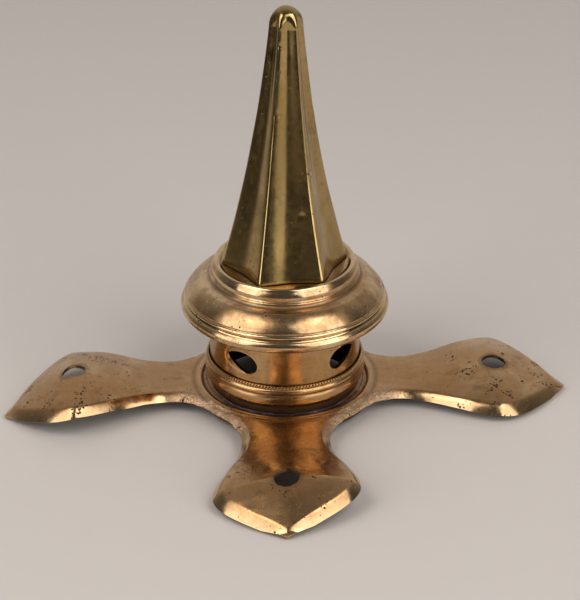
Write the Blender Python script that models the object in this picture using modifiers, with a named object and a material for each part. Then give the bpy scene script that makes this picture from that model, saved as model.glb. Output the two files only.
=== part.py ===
"""Fluted screw-in spike on a perforated neck, soldered to a four-armed sheet-metal base.

Lengths are in metres, +Z is up and the origin lies on the neck's axis at the level on which the
arms stand. The front arm points along -Y and the right arm along +X.
"""

from math import atan2, cos, pi, radians, sin, sqrt, tan

import bmesh
import bpy
from mathutils import Vector

MM = 0.001
GAP = 0.3 * MM
SHEET = 0.9 * MM
TURNED_STEPS = 36

# Spike: a hexagonal flare with a hollow flute on each side and a round nose.
SPIKE_FOOT_Z = 38.1 * MM
SPIKE_NOSE_Z = 99.0 * MM
SPIKE_TOP_Z = 103.7 * MM
SPIKE_FOOT_RADIUS = 15.6 * MM
SPIKE_NOSE_RADIUS = 4.2 * MM
SPIKE_FLARE_POWER = 2.2
SPIKE_FLARE_SHARE = 0.45
SPIKE_YAW = radians(7.3)
FLUTE_DEPTH = 0.45 * MM
SPIKE_SECTIONS = 16
NOSE_SECTIONS = 4
POINTS_PER_SIDE = 6

# Screw joint between the spike and the collar.
THREAD_RADIUS = 7.0 * MM
THREAD_END_Z = 31.5 * MM
FERRULE_RADIUS = 10.6 * MM
FERRULE_TOP_Z = 40.0 * MM
FERRULE_BORE = 4.2 * MM
BUSH_BORE = 7.3 * MM
BUSH_WALL = 2.3 * MM
BUSH_SPIGOT_RADIUS = 8.4 * MM
BUSH_FLANGE_RADIUS = 13.0 * MM
BUSH_FLANGE_THICKNESS = 1.2 * MM
BUSH_BOTTOM_Z = 30.0 * MM

# Collar: an upper shell and a lower dish that meet in the groove.
SEAT_Z = 37.8 * MM
SEAT_HOLE_RADIUS = 8.8 * MM
SEAT_RADIUS = 15.7 * MM
RIM_RADIUS = 16.7 * MM
RIM_Z = 38.4 * MM
RIM_ROUND = 0.7 * MM
BAND_RADIUS = 18.1 * MM
BAND_Z = 35.9 * MM
BAND_ROUND = 2.9 * MM
COVE_RADIUS = 19.3 * MM
COVE_Z = 34.1 * MM
TORUS_RADIUS = 25.8 * MM
TORUS_Z = 24.6 * MM
TORUS_ROUND = 10.6 * MM
GROOVE_RADIUS = 24.5 * MM
GROOVE_Z = 28.5 * MM
LIP_RADIUS = 25.7 * MM
LIP_Z = 26.75 * MM
LIP_HALF_HEIGHT = 1.65 * MM
DISH_UNDER_Z = 25.0 * MM

# Neck: a waisted tube with four air holes and a flange turned out below the base.
NECK_RADIUS = 18.75 * MM
NECK_WAIST_DEPTH = 0.2 * MM
NECK_TOP_Z = 32.8 * MM
NECK_FLANGE_RADIUS = 22.0 * MM
NECK_FLANGE_Z = 2.1 * MM
VENT_HALF_WIDTH = 4.4 * MM
VENT_HALF_HEIGHT = 2.8 * MM
VENT_Z = 17.4 * MM
VENT_AZIMUTHS = (52.3, 142.3, 235.0, 320.0)

# Ring round the foot of the neck.
FOOT_TOP_Z = 12.6 * MM
FOOT_BOTTOM_Z = 6.9 * MM
FOOT_RADIUS = 19.9 * MM
FOOT_BEAD_RADIUS = 19.75 * MM

# Well in the middle of the base, with a raised lip.
WELL_FLOOR_Z = 3.5 * MM
WELL_FLOOR_RADIUS = 19.35 * MM
WELL_WALL_RADIUS = 20.6 * MM
WELL_LIP_RADIUS = 21.5 * MM
WELL_LIP_Z = 6.1 * MM
SOLDER_TOP_Z = 5.2 * MM

# Base: plan of one arm, measured along it from the axis.
PLATE_Z = 5.2 * MM
PLATE_INNER_RADIUS = 22.1 * MM
CORNER_RADIUS = 24.0 * MM
WAIST_AT = 29.0 * MM
WAIST_HALF_WIDTH = 10.0 * MM
HEAD_AT = 53.0 * MM
HEAD_HALF_WIDTH = 17.2 * MM
TIP_POWER = 1.7
RISE_FROM = 28.0 * MM
FALL_POWER = 1.2
ARCH_CURVATURE = 0.011 / MM
BEVEL_WIDTH = 2.6 * MM
BEVEL_DROP = 1.5 * MM
STUD_HOLE_AT = 52.7 * MM
STUD_HOLE_RADIUS = 3.1 * MM
RIBS_AT_RING = 5
RIBS_ON_ARM = 14
ACROSS = 5

# Each arm is hand-bent: azimuth at its root, sideways curl at its tip, length, height of its
# head and of its tip, and the twist of its head.
ARMS = {
    "right": (4.1, -2.9, 70.8, 8.1, 1.35, -4.0),
    "back": (91.0, 0.0, 68.6, 7.8, 0.78, 0.0),
    "left": (179.0, 11.4, 70.7, 10.0, 0.76, -3.8),
    "front": (270.6, 0.0, 66.8, 8.7, 1.4, -5.6),
}

BRASS = (0.36, 0.27, 0.11, 1.0)
TOMBAC = (0.55, 0.34, 0.19, 1.0)
TURNED_BRASS = (0.50, 0.38, 0.16, 1.0)
SOLDER = (0.16, 0.15, 0.15, 1.0)


def clear_scene():
    """Remove every object of the open scene."""
    for thing in list(bpy.data.objects):
        bpy.data.objects.remove(thing, do_unlink=True)


def new_collection(name):
    """Make a collection and link it to the scene."""
    group = bpy.data.collections.new(name)
    bpy.context.scene.collection.children.link(group)
    return group


def metal(name, colour, roughness):
    """A metallic Principled material."""
    material = bpy.data.materials.new(name)
    material.use_nodes = True
    shader = material.node_tree.nodes["Principled BSDF"]
    shader.inputs["Base Color"].default_value = colour
    shader.inputs["Roughness"].default_value = roughness
    shader.inputs["Metallic"].default_value = 1.0
    material.diffuse_color = colour
    return material


def add_object(name, mesh, group, material=None):
    """Link a mesh as a named object, shaded smooth but for its sharp edges."""
    thing = bpy.data.objects.new(name, mesh)
    group.objects.link(thing)
    if material:
        mesh.materials.append(material)
        mesh.shade_smooth()
        mesh.set_sharp_from_angle(angle=radians(35))
    return thing


def arc(centre, radius, start, end, steps):
    """Points of a circular arc in the r-z plane, angles in degrees."""
    points = []
    for i in range(steps + 1):
        angle = radians(start + (end - start) * i / steps)
        points.append((centre[0] + radius * cos(angle), centre[1] + radius * sin(angle)))
    return points


def turned(name, profile, group, material, closed):
    """Turn an r-z profile round the Z axis; an open one becomes a sheet-metal shell."""
    mesh = bpy.data.meshes.new(name)
    edges = [(i, i + 1) for i in range(len(profile) - 1)]
    if closed:
        edges.append((len(profile) - 1, 0))
    mesh.from_pydata([(r, 0.0, z) for r, z in profile], edges, [])
    thing = add_object(name, mesh, group, material)
    screw = thing.modifiers.new("turn", "SCREW")
    screw.axis = "Z"
    screw.angle = 2 * pi
    screw.steps = TURNED_STEPS
    screw.render_steps = TURNED_STEPS
    screw.use_merge_vertices = True
    screw.merge_threshold = 0.00001
    screw.use_smooth_shade = True
    if not closed:
        wall = thing.modifiers.new("sheet", "SOLIDIFY")
        wall.thickness = SHEET
        wall.offset = -1.0
    return thing


def cut(thing, cutter, operation="DIFFERENCE"):
    """Add an exact Boolean and mark the other object as a tool."""
    cutter.hide_render = True
    cutter.display_type = "WIRE"
    boolean = thing.modifiers.new(cutter.name, "BOOLEAN")
    boolean.operation = operation
    boolean.object = cutter
    boolean.solver = "EXACT"


# ---------------------------------------------------------------- spike

def spike_radius(z):
    """Ridge radius: a straight taper and, as a share of it, a flare that grows as a power."""
    left = max((SPIKE_NOSE_Z - z) / (SPIKE_NOSE_Z - SPIKE_FOOT_Z), 0.0)
    widening = (1 - SPIKE_FLARE_SHARE) * left + SPIKE_FLARE_SHARE * left ** SPIKE_FLARE_POWER
    return SPIKE_NOSE_RADIUS + (SPIKE_FOOT_RADIUS - SPIKE_NOSE_RADIUS) * widening


def spike_section(z, radius, roundness):
    """One fluted hexagon, blended towards a circle by roundness from 0 to 1."""
    ring = []
    for side in range(6):
        for step in range(POINTS_PER_SIDE):
            turn = (pi / 3) * step / POINTS_PER_SIDE
            flat = cos(pi / 6) / cos(turn - pi / 6)
            hollow = FLUTE_DEPTH / radius * sin(3 * turn) ** 2
            scale = (flat - hollow) * (1 - roundness) + roundness
            angle = SPIKE_YAW + side * pi / 3 + turn
            ring.append(Vector((radius * scale * cos(angle), radius * scale * sin(angle), z)))
    return ring


def build_spike_shell(group, material):
    """Loft the fluted sections, close them with a round nose and give the skin its wall."""
    sections = []
    for i in range(SPIKE_SECTIONS + 1):
        z = SPIKE_FOOT_Z + (SPIKE_NOSE_Z - SPIKE_FOOT_Z) * i / SPIKE_SECTIONS
        sections.append(spike_section(z, spike_radius(z), 0.0))
    for i in range(1, NOSE_SECTIONS):
        angle = (pi / 2) * i / NOSE_SECTIONS
        z = SPIKE_NOSE_Z + (SPIKE_TOP_Z - SPIKE_NOSE_Z) * sin(angle)
        sections.append(spike_section(z, SPIKE_NOSE_RADIUS * cos(angle), sin(angle)))
    build = bmesh.new()
    rings = [[build.verts.new(point) for point in section] for section in sections]
    count = len(rings[0])
    for low, high in zip(rings, rings[1:]):
        for i in range(count):
            k = (i + 1) % count
            build.faces.new((low[i], low[k], high[k], high[i]))
    top = build.verts.new((0.0, 0.0, SPIKE_TOP_Z))
    for i in range(count):
        build.faces.new((rings[-1][i], rings[-1][(i + 1) % count], top))
    mesh = bpy.data.meshes.new("spike_shell")
    build.to_mesh(mesh)
    build.free()
    thing = add_object("spike_shell", mesh, group, material)
    wall = thing.modifiers.new("sheet", "SOLIDIFY")
    wall.thickness = SHEET
    wall.offset = -1.0
    return thing


def build_spike_ferrule(group, material):
    """Disc soldered in the spike's foot, with a hollow threaded stem below it."""
    under = SEAT_Z + GAP + 0.05 * MM
    profile = [
        (FERRULE_BORE, FERRULE_TOP_Z),
        (FERRULE_RADIUS, FERRULE_TOP_Z),
        (FERRULE_RADIUS, under),
        (THREAD_RADIUS, under),
        (THREAD_RADIUS, THREAD_END_Z + 0.6 * MM),
        (THREAD_RADIUS - 0.6 * MM, THREAD_END_Z),
        (FERRULE_BORE, THREAD_END_Z),
    ]
    return turned("spike_ferrule", profile, group, material, closed=True)


# ---------------------------------------------------------------- collar

def build_collar_shell(group, material):
    """Seat, rolled rim, rounded band, cove and torus, down to the groove."""
    profile = [(SEAT_HOLE_RADIUS, SEAT_Z), (SEAT_RADIUS, SEAT_Z)]
    profile += arc((RIM_RADIUS, RIM_Z - RIM_ROUND), RIM_ROUND, 120, 40, 4)
    profile += arc((BAND_RADIUS - BAND_ROUND, BAND_Z), BAND_ROUND, 38, -4, 5)
    profile += [(BAND_RADIUS + 0.4 * MM, BAND_Z - 1.0 * MM), (COVE_RADIUS, COVE_Z)]
    profile += arc((TORUS_RADIUS - TORUS_ROUND, TORUS_Z), TORUS_ROUND, 60, 24, 6)
    profile += [(GROOVE_RADIUS, GROOVE_Z)]
    return turned("collar_shell", profile, group, material, closed=False)


def build_collar_dish(group, material):
    """Rounded lip below the groove, returned under the collar to the neck."""
    profile = [(GROOVE_RADIUS, GROOVE_Z - GAP)]
    profile += arc((LIP_RADIUS - LIP_HALF_HEIGHT, LIP_Z), LIP_HALF_HEIGHT, 58, -80, 8)
    profile += [(22.4 * MM, DISH_UNDER_Z + 0.1 * MM), (NECK_RADIUS + GAP + 0.2 * MM, DISH_UNDER_Z)]
    return turned("collar_dish", profile, group, material, closed=False)


def build_threaded_bush(group, material):
    """Flanged bush under the seat that takes the spike's thread."""
    flange_top = SEAT_Z - SHEET - GAP
    flange_bottom = flange_top - BUSH_FLANGE_THICKNESS
    profile = [
        (BUSH_SPIGOT_RADIUS, SEAT_Z - 0.1 * MM),
        (BUSH_SPIGOT_RADIUS, flange_top),
        (BUSH_FLANGE_RADIUS, flange_top),
        (BUSH_FLANGE_RADIUS, flange_bottom),
        (BUSH_BORE + BUSH_WALL, flange_bottom),
        (BUSH_BORE + BUSH_WALL, BUSH_BOTTOM_Z),
        (BUSH_BORE, BUSH_BOTTOM_Z),
        (BUSH_BORE, SEAT_Z - 0.1 * MM),
    ]
    return turned("threaded_bush", profile, group, material, closed=True)


# ---------------------------------------------------------------- neck

def build_neck_tube(group, tools, material):
    """Waisted tube, flanged out at its foot, with oval air holes."""
    profile = []
    steps = 10
    for i in range(steps + 1):
        down = i / steps
        z = NECK_TOP_Z - (NECK_TOP_Z - FOOT_TOP_Z) * down
        profile.append((NECK_RADIUS - NECK_WAIST_DEPTH * sin(pi * down), z))
    bend = 1.3 * MM
    profile += arc((NECK_RADIUS + bend, NECK_FLANGE_Z + bend), bend, 180, 270, 4)
    profile += [(NECK_FLANGE_RADIUS, NECK_FLANGE_Z)]
    thing = turned("neck_tube", profile, group, material, closed=False)
    for i, azimuth in enumerate(VENT_AZIMUTHS):
        build = bmesh.new()
        bmesh.ops.create_cone(
            build, cap_ends=True, segments=24, radius1=1.0, radius2=1.0, depth=2 * NECK_RADIUS * 0.6
        )
        mesh = bpy.data.meshes.new(f"vent_tool_{i}")
        build.to_mesh(mesh)
        build.free()
        for vertex in mesh.vertices:
            across, up, along = vertex.co
            vertex.co = (along + NECK_RADIUS * 0.9, across * VENT_HALF_WIDTH, up * VENT_HALF_HEIGHT)
        tool = add_object(f"vent_tool_{i}", mesh, tools)
        tool.location = (0.0, 0.0, VENT_Z)
        tool.rotation_euler = (0.0, 0.0, radians(azimuth))
        cut(thing, tool)
    return thing


def build_foot_ring(group, material):
    """Ring round the neck's foot: a milled edge, a bead and a soft bulge."""
    inner = NECK_RADIUS + GAP
    profile = [(inner, FOOT_TOP_Z), (inner + 0.4 * MM, FOOT_TOP_Z)]
    profile += [(inner + 0.4 * MM, FOOT_TOP_Z - 0.5 * MM)]
    profile += arc((FOOT_BEAD_RADIUS - 0.8 * MM, FOOT_TOP_Z - 1.5 * MM), 0.8 * MM, 70, -60, 5)
    profile += arc((FOOT_RADIUS - 3.4 * MM, FOOT_BOTTOM_Z + 2.0 * MM), 3.4 * MM, 16, -35, 5)
    profile += [(inner, FOOT_BOTTOM_Z)]
    return turned("foot_ring", profile, group, material, closed=True)


def build_solder_ring(group, material):
    """Fillet of soft solder between the neck and the floor of the well."""
    inner = NECK_RADIUS + GAP
    outer = WELL_WALL_RADIUS - GAP
    floor = WELL_FLOOR_Z + GAP
    profile = [(inner, SOLDER_TOP_Z), (inner + 0.4 * MM, SOLDER_TOP_Z - 0.5 * MM)]
    profile += [(outer - 0.4 * MM, floor + 0.7 * MM), (outer - 0.4 * MM, floor + 0.3 * MM)]
    profile += [(outer - 0.6 * MM, floor), (inner, floor)]
    return turned("solder_ring", profile, group, material, closed=True)


# ---------------------------------------------------------------- base

def smooth(t):
    """Cubic ease from 0 to 1."""
    t = min(max(t, 0.0), 1.0)
    return t * t * (3 - 2 * t)


def half_width(along, corner, length):
    """Half width of an arm: parabola to the waist, ease to the head, power curve to the tip."""
    if along < WAIST_AT:
        left = (WAIST_AT - along) / (WAIST_AT - corner[0])
        return WAIST_HALF_WIDTH + (corner[1] - WAIST_HALF_WIDTH) * left ** 2
    if along < HEAD_AT:
        ease = smooth((along - WAIST_AT) / (HEAD_AT - WAIST_AT))
        return WAIST_HALF_WIDTH + (HEAD_HALF_WIDTH - WAIST_HALF_WIDTH) * ease
    return HEAD_HALF_WIDTH * max(0.0, 1 - ((along - HEAD_AT) / (length - HEAD_AT)) ** TIP_POWER)


def arm_height(along, across, edge, arm):
    """Top surface of an arm: spine height, less arch and bevel, tilted by the twist."""
    _, _, length, head_z, tip_z, twist = arm
    length, head_z, tip_z = length * MM, head_z * MM, tip_z * MM
    if along < HEAD_AT:
        spine = PLATE_Z + (head_z - PLATE_Z) * smooth((along - RISE_FROM) / (HEAD_AT - RISE_FROM))
    else:
        gone = min((along - HEAD_AT) / (length - HEAD_AT), 1.0)
        spine = tip_z + (head_z - tip_z) * (1 - gone ** FALL_POWER)
    arch = ARCH_CURVATURE * smooth((along - 20 * MM) / (20 * MM)) * across ** 2
    bevel = BEVEL_DROP * min(max(1 - (edge - abs(across)) / BEVEL_WIDTH, 0.0), 1.0)
    if along > WAIST_AT:
        bevel *= min(edge / (6 * MM), 1.0)
    tilt = across * tan(radians(twist)) * min(max((along - 20 * MM) / (33 * MM), 0.0), 1.0)
    return spine - arch - bevel - tilt


def arm_point(along, across, edge, arm):
    """World place of a point of an arm's top surface, curled sideways towards the tip."""
    azimuth, curl = arm[0], arm[1]
    turn = radians(azimuth + curl * max(0.0, (along - 20 * MM) / (50 * MM)))
    x = along * cos(turn) - across * sin(turn)
    y = along * sin(turn) + across * cos(turn)
    return Vector((x, y, arm_height(along, across, edge, arm)))


def rib_fractions(edge):
    """Places across a rib from its spine to its edge, with one on the bevel's top line."""
    shoulder = max(1 - BEVEL_WIDTH / edge, 0.5) if edge > 0 else 0.5
    return [shoulder * i / (ACROSS - 2) for i in range(ACROSS - 1)] + [1.0]


def half_arm_ribs(arm, side, spread):
    """Ribs of half an arm, from the diagonal round the ring and out along the spine."""
    length = arm[2] * MM
    corner = (CORNER_RADIUS * cos(spread), CORNER_RADIUS * sin(spread))
    ribs = []
    for i in range(RIBS_AT_RING + 1):
        share = i / RIBS_AT_RING
        angle = spread * (1 - share)
        start = (PLATE_INNER_RADIUS * cos(angle), PLATE_INNER_RADIUS * sin(angle))
        along = corner[0] + (25.0 * MM - corner[0]) * share
        end = (along, half_width(along, corner, length))
        ribs.append((start, end))
    for i in range(1, RIBS_ON_ARM + 1):
        share = i / RIBS_ON_ARM
        start = (PLATE_INNER_RADIUS + (length - PLATE_INNER_RADIUS) * share, 0.0)
        along = 25.0 * MM + (length - 25.0 * MM) * share
        ribs.append((start, (along, half_width(along, corner, length))))
    points = []
    for start, end in ribs:
        span = sqrt((end[0] - start[0]) ** 2 + (end[1] - start[1]) ** 2)
        row = []
        for fraction in rib_fractions(span):
            along = start[0] + (end[0] - start[0]) * fraction
            across = start[1] + (end[1] - start[1]) * fraction
            edge = across + span * (1 - fraction)
            row.append(arm_point(along, side * across, edge, arm))
        points.append(row)
    return points


def build_plate_mesh():
    """Loft the ribs of the eight half arms into one sheet with a round opening."""
    build = bmesh.new()
    names = list(ARMS)
    for index, name in enumerate(names):
        arm = ARMS[name]
        for side in (1, -1):
            neighbour = ARMS[names[(index + side) % len(names)]]
            between = ((neighbour[0] - arm[0]) * side) % 360
            ribs = half_arm_ribs(arm, side, radians(between) / 2)
            grid = [[build.verts.new(point) for point in row] for row in ribs]
            for low, high in zip(grid, grid[1:]):
                for j in range(len(low) - 1):
                    quad = (low[j], low[j + 1], high[j + 1], high[j])
                    build.faces.new(quad if side < 0 else quad[::-1])
    bmesh.ops.remove_doubles(build, verts=build.verts, dist=0.02 * MM)
    bmesh.ops.dissolve_degenerate(build, edges=build.edges, dist=0.005 * MM)
    bmesh.ops.recalc_face_normals(build, faces=build.faces)
    build.faces.ensure_lookup_table()
    if build.faces[0].normal.z < 0:
        bmesh.ops.reverse_faces(build, faces=build.faces)
    mesh = bpy.data.meshes.new("base_cross")
    build.to_mesh(mesh)
    build.free()
    return mesh


def build_base_cross(group, tools, material):
    """Pressed sheet with its lipped well, cut by the four stud holes."""
    thing = add_object("base_cross", build_plate_mesh(), group, material)
    wall = thing.modifiers.new("sheet", "SOLIDIFY")
    wall.thickness = SHEET
    wall.offset = -1.0
    lip = 0.9 * MM
    profile = [(WELL_FLOOR_RADIUS, WELL_FLOOR_Z), (WELL_WALL_RADIUS - 0.5 * MM, WELL_FLOOR_Z)]
    profile += [(WELL_WALL_RADIUS, WELL_FLOOR_Z + 0.5 * MM)]
    profile += arc((WELL_LIP_RADIUS, WELL_LIP_Z - lip), lip, 180, 20, 6)
    profile += [(PLATE_INNER_RADIUS + 0.55 * MM, PLATE_Z - 0.25 * MM)]
    well = turned("well_tool", profile, tools, None, closed=False)
    cut(thing, well, "UNION")
    for name, arm in ARMS.items():
        build = bmesh.new()
        bmesh.ops.create_cone(
            build, cap_ends=True, segments=24, radius1=STUD_HOLE_RADIUS, radius2=STUD_HOLE_RADIUS, depth=20 * MM
        )
        mesh = bpy.data.meshes.new(f"stud_tool_{name}")
        build.to_mesh(mesh)
        build.free()
        tool = add_object(f"stud_tool_{name}", mesh, tools)
        place = arm_point(STUD_HOLE_AT, 0.0, HEAD_HALF_WIDTH, arm)
        tool.location = place
        cut(thing, tool)
    return thing


def main():
    """Build every part."""
    clear_scene()
    group = new_collection("fluted_spike_mount")
    tools = new_collection("cutting_tools")
    tombac = metal("tombac", TOMBAC, 0.25)
    turned_brass = metal("turned_brass", TURNED_BRASS, 0.35)
    build_spike_shell(group, metal("spike_brass", BRASS, 0.25))
    build_spike_ferrule(group, turned_brass)
    build_collar_shell(group, tombac)
    build_collar_dish(group, metal("dish_tombac", TOMBAC, 0.27))
    build_threaded_bush(group, metal("bush_brass", TURNED_BRASS, 0.4))
    build_neck_tube(group, tools, metal("neck_tombac", TOMBAC, 0.28))
    build_foot_ring(group, metal("foot_tombac", TOMBAC, 0.26))
    build_solder_ring(group, metal("soft_solder", SOLDER, 0.6))
    build_base_cross(group, tools, metal("base_tombac", TOMBAC, 0.32))


main()
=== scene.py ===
"""Looks of a fluted brass spike on its moulded collar, perforated neck and four-armed sheet base.

Lengths are in metres, +Z is up and the front arm points along -Y. Each sub-assembly is a class that
holds its sizes, works its surfaces out as numpy grids and dresses them in a procedural metal.
"""

import logging
from dataclasses import dataclass
from enum import Enum
from math import pi, radians, tan

import bmesh
import bpy
import numpy as np
from mathutils import Matrix, Vector


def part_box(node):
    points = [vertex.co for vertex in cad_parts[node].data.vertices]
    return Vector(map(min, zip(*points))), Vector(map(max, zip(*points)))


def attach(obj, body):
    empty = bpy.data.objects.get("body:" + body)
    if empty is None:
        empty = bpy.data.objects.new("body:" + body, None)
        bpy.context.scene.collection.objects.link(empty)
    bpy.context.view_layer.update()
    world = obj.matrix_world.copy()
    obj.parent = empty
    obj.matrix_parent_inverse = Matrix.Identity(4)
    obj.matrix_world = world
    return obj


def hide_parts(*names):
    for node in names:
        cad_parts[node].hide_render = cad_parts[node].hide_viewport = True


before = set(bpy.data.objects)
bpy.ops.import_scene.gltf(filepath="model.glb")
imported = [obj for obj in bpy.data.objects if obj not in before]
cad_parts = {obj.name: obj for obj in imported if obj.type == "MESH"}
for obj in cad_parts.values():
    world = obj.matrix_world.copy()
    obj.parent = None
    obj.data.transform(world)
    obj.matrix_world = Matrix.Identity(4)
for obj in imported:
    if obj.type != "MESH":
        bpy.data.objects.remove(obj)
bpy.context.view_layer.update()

MM = 0.001
SHEET = 0.9 * MM
WELD = 0.004 * MM
SHARP = radians(40)

Colour = tuple[float, float, float]
Array = np.ndarray
log = logging.getLogger("spike_mount")


class Body(Enum):
    """Rigid bodies that the pieces ride on."""

    MOUNT = "mount"
    THREAD = "thread"
    SPIKE = "spike"


class Grain(Enum):
    """Direction of the fine marks left by turning or polishing, as stretch of a noise."""

    ROUND_THE_AXIS = (60.0, 60.0, 5200.0)
    ALONG_THE_AXIS = (3600.0, 3600.0, 90.0)
    CROSSED = (420.0, 2600.0, 900.0)


# ---------------------------------------------------------------- numpy tools

def ease(t: Array) -> Array:
    """Cubic ease: 0 below 0, 1 above 1 and 3t^2 - 2t^3 between."""
    t = np.clip(t, 0.0, 1.0)
    return t * t * (3 - 2 * t)


def bell(distance: Array, reach: float) -> Array:
    """Gaussian bell: the exponential of minus the squared ratio of distance to reach."""
    return np.exp(-((distance / reach) ** 2))


def arc(centre: tuple[float, float], radius: float, start: float, end: float, steps: int = 24) -> Array:
    """Points of a circle: centre plus radius times cosine and sine, from start to end degrees."""
    angle = np.radians(np.linspace(start, end, steps + 1))
    return np.stack((centre[0] + radius * np.cos(angle), centre[1] + radius * np.sin(angle)), -1)


def chain(*stretches: Array | list[tuple[float, float]]) -> Array:
    """Join stretches of a profile, given in millimetres, into one array in metres."""
    return np.concatenate([np.asarray(stretch, float).reshape(-1, 2) for stretch in stretches]) * MM


def even(profile: Array, rows: int, soften: float = 0.0) -> Array:
    """Spread points evenly along a profile and round its corners.

    The length along the profile is divided into equal steps. Each point is then averaged with its
    neighbours within the softening reach, which turns a corner into a small round.

    Args:
        profile: Points in the r-z plane, as an array of pairs.
        rows: How many points to return.
        soften: Reach of the averaging, in metres.

    Returns:
        The new points.
    """
    step = np.hypot(*np.diff(profile, axis=0).T)
    length = np.concatenate(([0.0], np.cumsum(step)))
    fine = max(rows * 4, 400)
    places = np.linspace(0, length[-1], fine)
    points = np.stack([np.interp(places, length, profile[:, i]) for i in (0, 1)], -1)
    reach = int(round(soften / (length[-1] / fine)))
    if reach > 0:
        padded = np.concatenate((
            2 * points[:1] - points[reach:0:-1],
            points,
            2 * points[-1:] - points[-2:-reach - 2:-1],
        ))
        kernel = np.hanning(2 * reach + 3)[1:-1]
        kernel /= kernel.sum()
        points = np.stack([np.convolve(padded[:, i], kernel, "valid") for i in (0, 1)], -1)
    pick = np.linspace(0, len(points) - 1, rows)
    return np.stack([np.interp(pick, np.arange(len(points)), points[:, i]) for i in (0, 1)], -1)


def inset(profile: Array, depth: float) -> Array:
    """Profile moved sideways by depth, to the right of its direction of travel."""
    along = np.gradient(profile, axis=0)
    along /= np.maximum(np.linalg.norm(along, axis=1, keepdims=True), 1e-12)
    return profile + depth * np.stack((along[:, 1], -along[:, 0]), -1)


def revolve(profile: Array, columns: int) -> Array:
    """Turn a profile round Z: x = r cos(angle), y = r sin(angle), z = z, on rows x columns."""
    angle = np.linspace(0, 2 * pi, columns, endpoint=False)
    radius, height = profile[:, :1], profile[:, 1:]
    flat = np.broadcast_to(height, (len(profile), columns))
    return np.stack((radius * np.cos(angle), radius * np.sin(angle), flat), -1)


def outward(points: Array, ring: bool, loop: bool) -> Array:
    """Unit normals of a grid: the cross product of its steps along columns and rows.

    Args:
        points: Grid of points, rows x columns x 3.
        ring: The columns close into a ring.
        loop: The rows close into a loop.

    Returns:
        A normal for each point.
    """
    across = np.roll(points, -1, 1) - np.roll(points, 1, 1) if ring else np.gradient(points, axis=1)
    down = np.roll(points, -1, 0) - np.roll(points, 1, 0) if loop else np.gradient(points, axis=0)
    normal = np.cross(down, across)
    size = np.linalg.norm(normal, axis=-1, keepdims=True)
    return normal / np.maximum(size, 1e-15)


@dataclass(frozen=True)
class Ripple:
    """Smooth unevenness: a sum of plane waves with random headings and phases.

    Attributes:
        wavelength: Middle wavelength, in metres.
        height: Root mean square height times the square root of two, in metres.
        seed: Seed of the random headings.
        waves: How many waves are added.
    """

    wavelength: float
    height: float
    seed: int
    waves: int = 12

    def at(self, points: Array) -> Array:
        """Height of the unevenness at each point."""
        draw = np.random.default_rng(self.seed)
        heading = draw.normal(size=(self.waves, 3))
        heading /= np.linalg.norm(heading, axis=1, keepdims=True)
        heading *= 2 * pi / self.wavelength * draw.uniform(0.65, 1.5, (self.waves, 1))
        phase = draw.uniform(0, 2 * pi, self.waves)
        return self.height * np.sqrt(2 / self.waves) * np.sin(points @ heading.T + phase).sum(-1)


@dataclass(frozen=True)
class Hollow:
    """A bruise or corrosion pit: a round hollow of Gaussian section."""

    place: tuple[float, float, float]
    reach: float
    depth: float

    def at(self, points: Array) -> Array:
        """Depth of the hollow at each point."""
        distance = np.linalg.norm(points - np.asarray(self.place), axis=-1)
        return self.depth * bell(distance, self.reach)


@dataclass
class Patch:
    """A grid of points with marks that the finish reads.

    Attributes:
        points: Rows x columns x 3.
        ring: The columns close into a ring.
        loop: The rows close into a loop.
        flip: Turn the faces over.
        marks: Named values from 0 to 1 at the points.
    """

    points: Array
    ring: bool = True
    loop: bool = False
    flip: bool = False
    marks: dict[str, Array] | None = None

    def quads(self, first: int) -> Array:
        """Corner numbers of the faces, counted from the first vertex's number."""
        rows, columns = self.points.shape[:2]
        number = first + np.arange(rows * columns).reshape(rows, columns)
        if self.ring:
            number = np.concatenate((number, number[:, :1]), 1)
        if self.loop:
            number = np.concatenate((number, number[:1]), 0)
        corners = (number[:-1, :-1], number[1:, :-1], number[1:, 1:], number[:-1, 1:])
        faces = np.stack([corner.ravel() for corner in corners], -1)
        return faces[:, ::-1] if self.flip else faces


# The grime mark holds dirt and painted shade together; polish, pitted and rough are wear and corrosion.
MARKS = ("grime_and_shade", "polish", "pitted", "rough")


def build_mesh(name: str, patches: list[Patch]) -> bpy.types.Mesh:
    """Put patches into one mesh, weld their seams and store their marks as attributes."""
    mesh = bpy.data.meshes.new(name)
    points = np.concatenate([patch.points.reshape(-1, 3) for patch in patches])
    counts = [patch.points.shape[0] * patch.points.shape[1] for patch in patches]
    firsts = np.concatenate(([0], np.cumsum(counts)))[:-1]
    faces = np.concatenate([patch.quads(int(first)) for patch, first in zip(patches, firsts)])
    mesh.from_pydata(points, [], faces)
    for mark in MARKS:
        layer = mesh.attributes.new(mark, "FLOAT", "POINT")
        values = []
        for patch, count in zip(patches, counts):
            given = (patch.marks or {}).get(mark)
            shape = patch.points.shape[:2]
            values.append(np.zeros(count) if given is None else np.broadcast_to(given, shape).ravel())
        layer.data.foreach_set("value", np.clip(np.concatenate(values), 0, 1).astype(np.float32))
    build = bmesh.new()
    build.from_mesh(mesh)
    bmesh.ops.remove_doubles(build, verts=build.verts, dist=WELD)
    bmesh.ops.dissolve_degenerate(build, edges=build.edges, dist=WELD / 4)
    build.to_mesh(mesh)
    build.free()
    return mesh


def shade(mesh: bpy.types.Mesh) -> None:
    """Shade a mesh smooth but for its sharp edges."""
    mesh.shade_smooth()
    mesh.set_sharp_from_angle(angle=SHARP)


def place(name: str, mesh: bpy.types.Mesh, materials: list[bpy.types.Material]) -> bpy.types.Object:
    """Make an object at the origin for a mesh and give it its materials."""
    thing = bpy.data.objects.new(name, mesh)
    bpy.context.scene.collection.objects.link(thing)
    for material in materials:
        mesh.materials.append(material)
    return thing


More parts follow.
